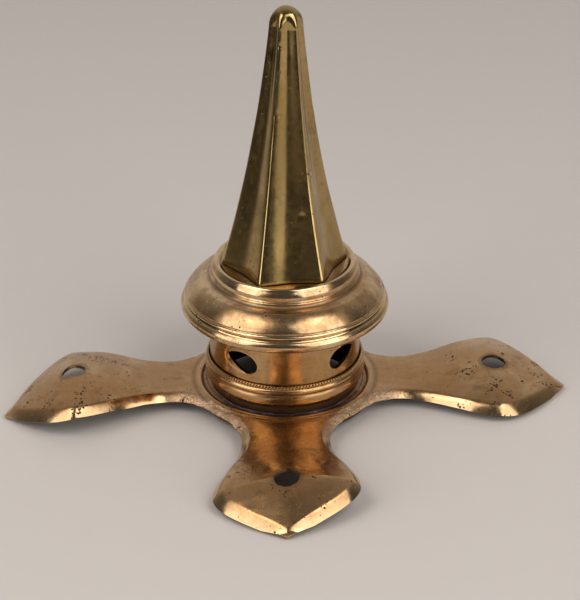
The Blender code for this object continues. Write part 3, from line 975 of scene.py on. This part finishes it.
@dataclass(frozen=True)
class Neck:
    """Waisted tube with four punched leaf-shaped air holes and a flange turned out below."""

    radius: float = 18.75 * MM
    waist: float = 0.2 * MM
    flange_radius: float = 22.0 * MM
    bend: float = 1.3 * MM
    foot_top: float = 12.6 * MM
    vent_z: float = 17.75 * MM
    vent_half_width: float = 4.4 * MM
    vent_half_height: float = 2.5 * MM
    vent_tilt: float = 0.32
    rim_sink: float = 0.16 * MM
    vent_azimuths: tuple[float, ...] = (52.3, 142.3, 235.0, 320.0)
    vent_points: tuple[int, ...] = (-1, 1, -1, 1)
    columns: int = 288
    rows: int = 96

    def outline(self, top: float, bottom: float) -> Array:
        """Sine-waisted side from the top to the ring, then straight, then a quarter bend."""
        height = np.linspace(top, self.foot_top, 40)
        share = (top - height) / (top - self.foot_top)
        side = np.stack((self.radius - self.waist * np.sin(pi * share), height), -1)
        foot = arc((self.radius + self.bend, bottom + self.bend), self.bend, 180, 270, 13)
        return np.concatenate((side, foot, [(self.flange_radius, bottom)]))

    def vent_distance(self, points: Array, azimuth: float) -> Array:
        """Distance from a vent's centre in units of its oval, 1 on the rim and 9 on the far side."""
        angle = np.arctan2(points[..., 1], points[..., 0]) - radians(azimuth)
        across = np.sin(angle) * self.radius / self.vent_half_width
        rise = (points[..., 2] - self.vent_z) / self.vent_half_height
        return np.where(np.cos(angle) > 0, np.hypot(across, rise), 9.0)

    def build(self) -> None:
        """Make the tube, sink the rims of its vents, give it a wall and cut the vents."""
        low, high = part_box("neck_tube")
        outline = self.outline(high.z, low.z + SHEET)
        points = revolve(even(outline, self.rows), self.columns)
        rim = np.min([self.vent_distance(points, azimuth) for azimuth in self.vent_azimuths], 0)
        sunk = self.rim_sink * bell(np.maximum(rim - 1, 0), 0.16)
        dents = Ripple(8 * MM, 0.02 * MM, 61).at(points) + Ripple(2.8 * MM, 0.005 * MM, 62).at(points)
        dents *= ease((points[..., 2] - self.foot_top) / (2 * MM))
        facing = outward(points, True, False)
        points = points + facing * (dents - sunk)[..., None]
        # Painted shade: the sleeve is darkened below the milled ring, where the ring shades it.
        below = ease((self.foot_top + 0.5 * MM - points[..., 2]) / (0.8 * MM))
        pitted = np.clip(0.5 + Ripple(14 * MM, 0.5, 63).at(points), 0, 1)
        marks = {"grime_and_shade": 0.7 * below, "polish": 0.9 * bell(rim - 1.08, 0.07), "pitted": pitted}
        mesh = build_mesh("neck_sleeve", [Patch(points, marks=marks)])
        thing = place("neck_sleeve", mesh, [NECK_TOMBAC.build(), INNER_TARNISH_AND_SHADE.build()])
        give_wall(thing)
        pierce(thing, [self.vent_tool(i, azimuth) for i, azimuth in enumerate(self.vent_azimuths)])
        shade(thing.data)
        hand_over(thing, Body.MOUNT, "neck_tube")

    def vent_tool(self, number: int, azimuth: float) -> bpy.types.Object:
        """Leaf-shaped prism that points along a vent's azimuth.

        The leaf is an oval whose height is multiplied by the sine of half the turn, which draws one
        end out to a point; that end is tilted up by a share of the half height.
        """
        turn = np.linspace(0, 2 * pi, 96, endpoint=False)
        rise = 1.28 * np.sin(turn) * np.sin(turn / 2) ** 0.8 + self.vent_tilt * np.cos(turn)
        out = np.array([np.cos(radians(azimuth)), np.sin(radians(azimuth)), 0.0])
        side = np.array([-out[1], out[0], 0.0])
        up = np.array([0.0, 0.0, 1.0])
        across = self.vent_points[number] * self.vent_half_width * np.cos(turn)[:, None] * side
        level = (self.vent_z + self.vent_half_height * rise)[:, None] * up
        outline = out * self.radius * 0.9 + across + level
        return prism(f"vent_tool_{number}", outline, out, 12 * MM)


@dataclass(frozen=True)
class NeckFoot:
    """Milled ring round the neck's foot, and the solder run into the well below it."""

    bore: float = 19.05
    mill_rise: float = 0.25
    mill_width: float = 0.5
    bead_radius: float = 18.99
    bead_drop: float = 1.58
    bead_round: float = 0.90
    bulge_radius: float = 16.5
    bulge_rise: float = 2.0
    bulge_round: float = 3.4
    solder_radius: float = 20.45

    def ring_outlines(self) -> tuple[Array, Array]:
        """Outer and inner profile of the milled ring: milled edge, bead, groove and soft bulge."""
        low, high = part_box("foot_ring")
        top, bottom, inner = high.z / MM + self.mill_rise, low.z / MM, self.bore
        edge = inner + self.mill_width
        outer = chain(
            [(inner, top), (edge - 0.08, top - 0.03), (edge, top - 0.25), (edge - 0.04, top - 0.66)],
            arc((self.bead_radius, top - self.bead_drop), self.bead_round, 62, -52, 16),
            arc((self.bulge_radius, bottom + self.bulge_rise), self.bulge_round, 26, -34, 20),
            [(inner, bottom)],
        )
        return outer, chain([(inner, bottom + 0.1), (inner, top - 0.1)])

    def solder_outlines(self) -> tuple[Array, Array]:
        """Outer and inner profile of the solder: a sloping fillet from the neck to the well's wall."""
        low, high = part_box("solder_ring")
        top, bottom, inner, outer = high.z / MM, low.z / MM, self.bore, self.solder_radius
        skin = chain(
            [(inner, top), (inner + 0.35, top - 0.25), (outer - 0.2, bottom + 0.85)],
            [(outer, bottom + 0.75), (outer, bottom + 0.4), (outer - 0.4, bottom), (inner, bottom)],
        )
        return skin, chain([(inner, bottom + 0.1), (inner, top - 0.1)])

    def build(self) -> None:
        """Make the ring and the solder."""
        outer, inner = self.ring_outlines()
        MilledRing(
            "foot_moulding", "foot_ring", "tombac", Body.MOUNT, NECK_TOMBAC, outer, inner,
            rows=58, inner_rows=6, columns=1200, soften=0.06 * MM, unevenness=0.008 * MM, seed=71,
        ).build()
        outer, inner = self.solder_outlines()
        SolderFillet(
            "well_solder", "solder_ring", "solder", Body.MOUNT, SOLDER_WITH_PAINTED_SHADE, outer, inner,
            rows=36, inner_rows=6, columns=360, soften=0.1 * MM, seed=75,
        ).build()


# ---------------------------------------------------------------- base

@dataclass(frozen=True)
class Arm:
    """How one arm is bent and worn: azimuth at its root, curl, length, heights, twist, pits, waist."""

    azimuth: float
    curl: float
    length: float
    head_z: float
    tip_z: float
    twist: float
    pitted: float
    waist: float = 10.0 * MM
    curl_from: float = 20 * MM
    curl_over: float = 50 * MM

    def plan(self, along: Array | float, across: Array | float) -> tuple[Array, Array]:
        """Plan position: along and across turned by the azimuth and by the curl's share of along."""
        bent = np.clip((along - self.curl_from) / self.curl_over, 0, None)
        turn = np.radians(self.azimuth + self.curl * bent)
        x = along * np.cos(turn) - across * np.sin(turn)
        y = along * np.sin(turn) + across * np.cos(turn)
        return x, y


ARMS = (
    Arm(4.1, -2.9, 70.8 * MM, 8.1 * MM, 1.35 * MM, -4.0, 1.0),
    Arm(91.0, 0.0, 68.6 * MM, 7.8 * MM, 0.95 * MM, 0.0, 0.6),
    Arm(179.0, 11.4, 70.7 * MM, 10.0 * MM, 0.95 * MM, -3.8, 0.95),
    Arm(270.6, 0.0, 66.8 * MM, 8.7 * MM, 1.4 * MM, -5.6, 0.7, 10.7 * MM),
)


@dataclass(frozen=True)
class CrossBase:
    """Pressed sheet of four arms round a lipped well, with a stud hole in each arm."""

    plate_z: float = 5.2 * MM
    ring_radius: float = 22.1 * MM
    corner_radius: float = 24.0 * MM
    waist_at: float = 29.0 * MM
    head_at: float = 53.0 * MM
    head_half_width: float = 17.2 * MM
    tip_power: float = 1.7
    rise_from: float = 28.0 * MM
    fall_power: float = 1.2
    arch: float = 0.011 / MM
    twist_from: float = 20 * MM
    roll_width: float = 3.4 * MM
    roll_drop: float = 1.5 * MM
    roll_power: float = 1.5
    roll_narrow: float = 0.68
    hole_at: float = 52.7 * MM
    hole_radius: float = 3.1 * MM
    well_floor: float = 3.5 * MM
    floor_radius: float = 19.35 * MM
    wall_radius: float = 20.6 * MM
    lip_radius: float = 21.5 * MM
    lip_round: float = 0.9 * MM
    lip_z: float = 5.7 * MM
    edge_round: float = 0.20 * MM
    pit_count: int = 26
    ring_ribs: int = 22
    arm_ribs: int = 92
    across_steps: int = 32

    def half_width(self, along: Array, arm: Arm, corner: tuple[float, float]) -> Array:
        """Half width of an arm: parabola to the waist, ease to the head, power curve to the tip."""
        left = (self.waist_at - along) / (self.waist_at - corner[0])
        root = arm.waist + (corner[1] - arm.waist) * left ** 2
        share = ease((along - self.waist_at) / (self.head_at - self.waist_at))
        neck = arm.waist + (self.head_half_width - arm.waist) * share
        gone = np.clip((along - self.head_at) / (arm.length - self.head_at), 0, 1)
        tip = self.head_half_width * (1 - gone ** self.tip_power)
        return np.where(along < self.waist_at, root, np.where(along < self.head_at, neck, tip))

    def height(self, along: Array, across: Array, edge: Array, inside: Array, arm: Arm) -> Array:
        """Height of an arm's top.

        The spine eases up from the plate to the head and falls as a power to the tip. The arch
        takes off curvature times across squared, the rolled edge takes off a power of the distance
        from the edge, the twist tilts the arm, and the lip's outer slope is added round the well.

        Args:
            along: Distance from the axis along the arm.
            across: Distance from the arm's spine, positive to its left.
            edge: Half width of the arm there.
            inside: Distance to the edge.
            arm: The arm.

        Returns:
            Heights.
        """
        share = ease((along - self.rise_from) / (self.head_at - self.rise_from))
        rising = self.plate_z + (arm.head_z - self.plate_z) * share
        gone = np.clip((along - self.head_at) / (arm.length - self.head_at), 0, 1)
        falling = arm.tip_z + (arm.head_z - arm.tip_z) * (1 - gone ** self.fall_power)
        spine = np.where(along < self.head_at, rising, falling)
        arch = self.arch * ease((along - self.twist_from) / (20 * MM)) * across ** 2
        wider = (1 - self.roll_narrow) * ease((along - self.head_at) / (10 * MM))
        width = self.roll_width * (self.roll_narrow + wider)
        roll = self.roll_drop * np.clip(1 - inside / width, 0, 1) ** self.roll_power
        roll = roll * np.where(along > self.waist_at, np.clip(edge / (6 * MM), 0, 1), 1)
        twisted = np.clip((along - self.twist_from) / (self.head_at - self.twist_from), 0, 1)
        tilt = across * tan(radians(arm.twist)) * twisted
        radius = np.hypot(along, across)
        lip_end = self.lip_z - self.lip_round + self.lip_round * np.sqrt(
            1 - ((self.ring_radius - self.lip_radius) / self.lip_round) ** 2)
        lip = (lip_end - self.plate_z) * (1 - ease((radius - self.ring_radius) / (0.95 * MM)))
        return spine - arch - roll - tilt + lip

    def half_arm(self, arm: Arm, side: int, spread: float) -> Patch:
        """Ribs of half an arm, from the diagonal round the ring and out along the spine.

        Each rib is a straight line in plan from the ring or the spine to the edge, with its points
        crowded towards the edge. The plan is turned by the azimuth, and by the curl times the
        distance along the arm.
        """
        corner = (self.corner_radius * np.cos(spread), self.corner_radius * np.sin(spread))
        root = 25 * MM
        ring = np.linspace(0, 1, self.ring_ribs + 1)
        reach = np.linspace(0, 1, self.arm_ribs + 1)[1:]
        angle = spread * (1 - ring)
        start_along = np.concatenate((self.ring_radius * np.cos(angle),
                                      self.ring_radius + (arm.length - self.ring_radius) * reach))
        start_across = np.concatenate((self.ring_radius * np.sin(angle), 0 * reach))
        end_along = np.concatenate((corner[0] + (root - corner[0]) * ring,
                                    root + (arm.length - root) * reach))
        end_across = self.half_width(end_along, arm, corner)
        span = np.hypot(end_along - start_along, end_across - start_across)[:, None]
        share = 1 - (1 - np.linspace(0, 1, self.across_steps + 1)) ** 1.25
        along = start_along[:, None] + (end_along - start_along)[:, None] * share
        across = start_across[:, None] + (end_across - start_across)[:, None] * share
        inside = span * (1 - share)
        height = self.height(along, side * across, across + inside, inside, arm)
        points = np.stack((*arm.plan(along, side * across), height), -1)
        return Patch(points, ring=False, marks=self.arm_marks(along, across, inside, arm), flip=side < 0)

    def arm_marks(self, along: Array, across: Array, inside: Array, arm: Arm) -> dict[str, Array]:
        """Rubbed rolled edges, dirt and painted shade round the stud hole and the lip, pits on the arm's
        head.
        """
        rubbed = 0.75 * ease(1 - inside / (3.0 * MM))
        hole = np.hypot(along - self.hole_at, across) - self.hole_radius
        # Painted shade round the stud hole and at the foot of the lip, besides dirt.
        grime_and_shade = 0.55 * bell(hole - 0.2 * MM, 0.5 * MM)
        radius = np.hypot(along, across)
        grime_and_shade = np.maximum(grime_and_shade, 0.35 * bell(radius - self.ring_radius - 0.9 * MM, 0.5 * MM))
        head = 0.35 + 0.65 * ease((along - 34 * MM) / (12 * MM))
        corner = bell(radius - 25.8 * MM, 4.6 * MM) * ease((across - 5 * MM) / (6 * MM))
        pitted = np.maximum(head * arm.pitted, corner)
        polish = np.maximum(rubbed, 0.6 * corner)
        return {"polish": polish, "grime_and_shade": grime_and_shade, "pitted": pitted, "rough": corner}

    def well(self, starts: Array) -> Patch:
        """Well floor, wall and lip on the plate's own azimuths, ending at the plate's inner points.

        Args:
            starts: The plate's inner points, in order round the axis.

        Returns:
            The patch.
        """
        lip = arc((self.lip_radius, self.lip_z - self.lip_round), self.lip_round, 180, 52, 13)
        low = [(self.floor_radius, self.well_floor), (self.wall_radius - 0.5 * MM, self.well_floor),
               (self.wall_radius, self.well_floor + 0.5 * MM)]
        profile = even(np.concatenate((low, lip)), 26, 0.12 * MM)
        angle = np.arctan2(starts[:, 1], starts[:, 0])
        radius, height = profile[:, :1], profile[:, 1:]
        rows = np.stack((radius * np.cos(angle), radius * np.sin(angle), height + 0 * radius * angle), -1)
        follow = ease((profile[:, 0] - self.lip_radius) / (self.ring_radius - self.lip_radius))[:, None]
        rows[..., 2] += follow * (starts[:, 2] - profile[-1, 1])
        # Painted shade: the lower well is darkened, most at its front, as the shadowed gap under the neck's
        # foot.
        front = bell(angle + pi / 2, 0.8)
        grime_and_shade = (0.15 + 0.5 * front) * ease((self.lip_z - 0.9 * MM - rows[..., 2]) / (1.2 * MM))
        polish = 0.35 * ease((rows[..., 2] - self.lip_z + 0.5 * MM) / (0.4 * MM))
        marks = {"grime_and_shade": grime_and_shade, "polish": polish, "pitted": 0.6 + 0 * grime_and_shade}
        return Patch(np.concatenate((rows, starts[None])), marks={
            name: np.concatenate((value, value[-1:])) for name, value in marks.items()})

    def build(self) -> None:
        """Make the plate and well, bruise them, give them a wall, cut the holes, round the edges."""
        patches = []
        for index, arm in enumerate(ARMS):
            for side in (1, -1):
                between = ((ARMS[(index + side) % len(ARMS)].azimuth - arm.azimuth) * side) % 360
                patches.append(self.half_arm(arm, side, radians(between) / 2))
        starts = np.concatenate([patch.points[: self.ring_ribs + 1, 0] for patch in patches])
        order = np.argsort(np.arctan2(starts[:, 1], starts[:, 0]))
        starts = starts[order]
        distinct = np.linalg.norm(starts - np.roll(starts, 1, 0), axis=1) > WELD * 4
        patches.append(self.well(starts[distinct]))
        mesh = build_mesh("cross_plate", patches)
        self.bruise(mesh)
        thing = place("cross_plate", mesh, [BASE_TOMBAC.build(), INNER_TARNISH_AND_SHADE.build()])
        give_wall(thing)
        pierce(thing, [self.stud_tool(arm, number) for number, arm in enumerate(ARMS)])
        self.round_edges(thing.data)
        shade(thing.data)
        hand_over(thing, Body.MOUNT, "base_cross")

    def bruise(self, mesh: bpy.types.Mesh) -> None:
        """Move the sheet by long dents, small ripples and scattered pits."""
        count = len(mesh.vertices)
        flat = np.empty(count * 3)
        mesh.vertices.foreach_get("co", flat)
        points = flat.reshape(-1, 3)
        radius = np.hypot(points[:, 0], points[:, 1])
        out = ease((radius - 24 * MM) / (6 * MM))
        dents = Ripple(15 * MM, 0.07 * MM, 81).at(points) + Ripple(5 * MM, 0.022 * MM, 82).at(points)
        dents = out * dents
        dents += Ripple(2.2 * MM, 0.006 * MM, 83).at(points)
        draw = np.random.default_rng(84)
        for arm in ARMS:
            for _ in range(self.pit_count):
                along = draw.uniform(36, 66) * MM
                across = draw.uniform(-12, 12) * MM
                x, y = arm.plan(along, across)
                level = points[np.argmin(np.hypot(points[:, 0] - x, points[:, 1] - y)), 2]
                reach, depth = draw.uniform(0.35, 0.9) * MM, draw.uniform(0.04, 0.14) * MM
                dents -= Hollow((x, y, level), reach, depth).at(points)
        corner = bell(radius - 25.5 * MM, 3.5 * MM) * ease((self.off_spine(points) - 8 * MM) / (5 * MM))
        skin = Ripple(2.6 * MM, 0.09 * MM, 85).at(points) + Ripple(1.2 * MM, 0.04 * MM, 86).at(points)
        dents += corner * skin
        dents *= 1 - 0.9 * ease((radius - 56 * MM) / (9 * MM))
        points[:, 2] += np.clip(dents, -0.3 * MM, 0.12 * MM)
        mesh.vertices.foreach_set("co", points.ravel())
        mesh.update()

    def off_spine(self, points: Array) -> Array:
        """Distance of each point from the nearest arm's straight spine, in plan."""
        turn = np.radians([arm.azimuth for arm in ARMS])
        along = points[:, :1] * np.cos(turn) + points[:, 1:2] * np.sin(turn)
        across = np.abs(points[:, 1:2] * np.cos(turn) - points[:, :1] * np.sin(turn))
        return np.where(along > 0, across, 1.0).min(1)

    def round_edges(self, mesh: bpy.types.Mesh) -> None:
        """Round the sheet's cut edges by a quarter of its thickness."""
        build = bmesh.new()
        build.from_mesh(mesh)
        folded = [edge for edge in build.edges if len(edge.link_faces) == 2]
        sharp = [edge for edge in folded if edge.calc_face_angle() > radians(60)]
        bmesh.ops.bevel(build, geom=sharp, offset=self.edge_round, segments=3, profile=0.5, affect="EDGES",
                        clamp_overlap=True)
        bmesh.ops.dissolve_degenerate(build, edges=build.edges, dist=WELD / 4)
        build.to_mesh(mesh)
        build.free()

    def stud_tool(self, arm: Arm, number: int) -> bpy.types.Object:
        """Upright prism at an arm's stud hole: a circle made ragged by waves round its edge."""
        turn = np.linspace(0, 2 * pi, 72, endpoint=False)
        ragged = 0.020 * np.sin(3 * turn + number) + 0.014 * np.sin(7 * turn + 2 * number)
        ragged = ragged + 0.010 * np.sin(13 * turn)
        radius = self.hole_radius * (1 + ragged)
        x, y = arm.plan(self.hole_at, 0.0)
        outline = np.stack((x + radius * np.cos(turn), y + radius * np.sin(turn), 7 * MM + 0 * turn), -1)
        return prism(f"stud_tool_{number}", outline, np.array([0.0, 0.0, 1.0]), 20 * MM)


# ---------------------------------------------------------------- studio

@dataclass(frozen=True)
class Softbox:
    """Square-edged soft light that faces the object."""

    name: str
    place: tuple[float, float, float]
    across: tuple[float, float, float]
    width: float
    height: float
    radiance: float
    colour: Colour = (1.0, 0.97, 0.93)

    def build(self) -> None:
        """Make the light, turned so that its width lies along the given direction."""
        data = bpy.data.lights.new(self.name, "AREA")
        data.shape = "RECTANGLE"
        data.size = self.width
        data.size_y = self.height
        data.energy = self.radiance * pi * self.width * self.height
        data.color = self.colour
        light = bpy.data.objects.new(self.name, data)
        back = Vector(self.place).normalized()
        side = Vector(self.across)
        side = (side - back * side.dot(back)).normalized()
        up = back.cross(side)
        turn = Matrix((side, up, back)).transposed().to_4x4()
        light.matrix_world = Matrix.Translation(self.place) @ turn
        bpy.context.scene.collection.objects.link(light)


SOFTBOXES = (
    Softbox("softbox_right", (0.612, -0.551, 0.500), (0.669, 0.743, 0.0), 0.82, 1.26, 2.0),
    Softbox("softbox_left", (-0.683, -0.461, 0.500), (0.559, -0.829, 0.0), 0.70, 1.26, 2.05),
    Softbox("top_strip_right", (0.40, -0.34, 0.82), (0.92, 0.0, -0.38), 0.30, 0.34, 1.6),
    Softbox("top_strip_left", (-0.40, -0.34, 0.82), (0.92, 0.0, 0.38), 0.30, 0.34, 1.6),
)


@dataclass(frozen=True)
class Studio:
    """Pale floor, soft light and the camera.

    Attributes:
        distance: From the camera to the point that it looks at, in metres.
        elevation: Of the camera above the horizon.
        lens: Focal length in millimetres, on film 36 mm wide.
        aim: The point that the camera looks at.
        table: Left, right, front and back edges of the floor, in metres.
        paper: The floor's two colours, mixed by a cloudy noise.
        backward: Room's brightness in front of and behind the object.
        sideward: Share of the brightness left ahead and at the sides.
        downward: Share of the brightness left below and above the horizon.
    """

    distance: float = 559 * MM
    elevation: float = radians(28.05)
    lens: float = 135.4
    aim: tuple[float, float, float] = (1.31 * MM, 0.0, 26.55 * MM)
    table: tuple[float, float, float, float] = (-0.22, 0.60, -0.36, 3.0)
    paper: tuple[Colour, Colour] = ((0.70, 0.650, 0.622), (0.715, 0.665, 0.637))
    backward: tuple[float, float] = (0.07, 0.54)
    sideward: tuple[float, float] = (1.0, 0.42)
    downward: tuple[float, float] = (0.9, 1.0)

    def build(self) -> None:
        """Set the stage."""
        self.floor()
        self.surroundings()
        for light in SOFTBOXES:
            light.build()
        self.camera()

    def floor(self) -> None:
        """Plain table of pale paper whose front and left edges lie outside the picture."""
        left, right, front, back = self.table
        mesh = bpy.data.meshes.new("floor")
        corners = [(left, front, 0), (right, front, 0), (right, back, 0), (left, back, 0)]
        mesh.from_pydata(corners, [], [(0, 1, 2, 3)])
        material = bpy.data.materials.new("pale_paper")
        nodes = Nodes(material)
        fibres = nodes.noise(6 * MM, 3.0)
        colour = nodes.blend(fibres, *self.paper)
        nodes.link(colour, nodes.shader.inputs["Base Color"])
        nodes.shader.inputs["Roughness"].default_value = 0.75
        nodes.shader.inputs["Specular IOR Level"].default_value = 0.25
        thing = place("floor", mesh, [material])

    def surroundings(self) -> None:
        """Grey room, lightest behind the object, dimmer at the sides and a little below the horizon."""
        world = bpy.data.worlds.new("studio_room")
        bpy.context.scene.world = world
        world.use_nodes = True
        tree = world.node_tree
        background = tree.nodes["Background"]
        direction = tree.nodes.new("ShaderNodeTexCoord")
        split = tree.nodes.new("ShaderNodeSeparateXYZ")
        tree.links.new(direction.outputs["Generated"], split.inputs[0])
        sideways = tree.nodes.new("ShaderNodeMath")
        sideways.operation = "ABSOLUTE"
        tree.links.new(split.outputs["X"], sideways.inputs[0])
        behind = self.slope(tree, split.outputs["Y"], (-0.4, 0.9), self.backward)
        flank = self.slope(tree, sideways.outputs[0], (0.55, 1.0), self.sideward)
        below = self.slope(tree, split.outputs["Z"], (-0.12, 0.04), self.downward)
        strength = self.product(tree, self.product(tree, behind, flank), below)
        tree.links.new(strength, background.inputs["Strength"])
        background.inputs["Color"].default_value = (1.0, 0.95, 0.90, 1.0)
        bpy.context.scene.view_settings.view_transform = "Standard"

    def slope(self, tree: bpy.types.NodeTree, value: bpy.types.NodeSocket, start_end: tuple[float, float],
              low_high: tuple[float, float]) -> bpy.types.NodeSocket:
        """Smooth step of a value, from one level at its start to another at its end."""
        node = tree.nodes.new("ShaderNodeMapRange")
        node.interpolation_type = "SMOOTHSTEP"
        names = ("From Min", "From Max", "To Min", "To Max")
        for name, number in zip(names, (*start_end, *low_high)):
            node.inputs[name].default_value = number
        tree.links.new(value, node.inputs["Value"])
        return node.outputs["Result"]

    def product(self, tree: bpy.types.NodeTree, a: bpy.types.NodeSocket,
                b: bpy.types.NodeSocket) -> bpy.types.NodeSocket:
        """Product of two values."""
        node = tree.nodes.new("ShaderNodeMath")
        node.operation = "MULTIPLY"
        tree.links.new(a, node.inputs[0])
        tree.links.new(b, node.inputs[1])
        return node.outputs[0]

    def camera(self) -> None:
        """Long lens in front of the object, looking down on it."""
        data = bpy.data.cameras.new("camera")
        data.lens = self.lens
        data.sensor_width = 36.0
        data.clip_start = 0.01
        data.clip_end = 20.0
        camera = bpy.data.objects.new("camera", data)
        back = Vector((0.0, -np.cos(self.elevation), np.sin(self.elevation)))
        camera.location = Vector(self.aim) + back * self.distance
        camera.rotation_euler = (pi / 2 - self.elevation, 0.0, 0.0)
        bpy.context.scene.collection.objects.link(camera)
        bpy.context.scene.camera = camera


def main() -> None:
    """Build each sub-assembly in order, then the studio."""
    logging.basicConfig(level=logging.INFO, format="%(name)s: %(message)s")
    for assembly in (FlutedSpike(), Collar(), Neck(), NeckFoot(), ScrewJoint(), CrossBase(), Studio()):
        assembly.build()


if __name__ == "__main__":
    main()
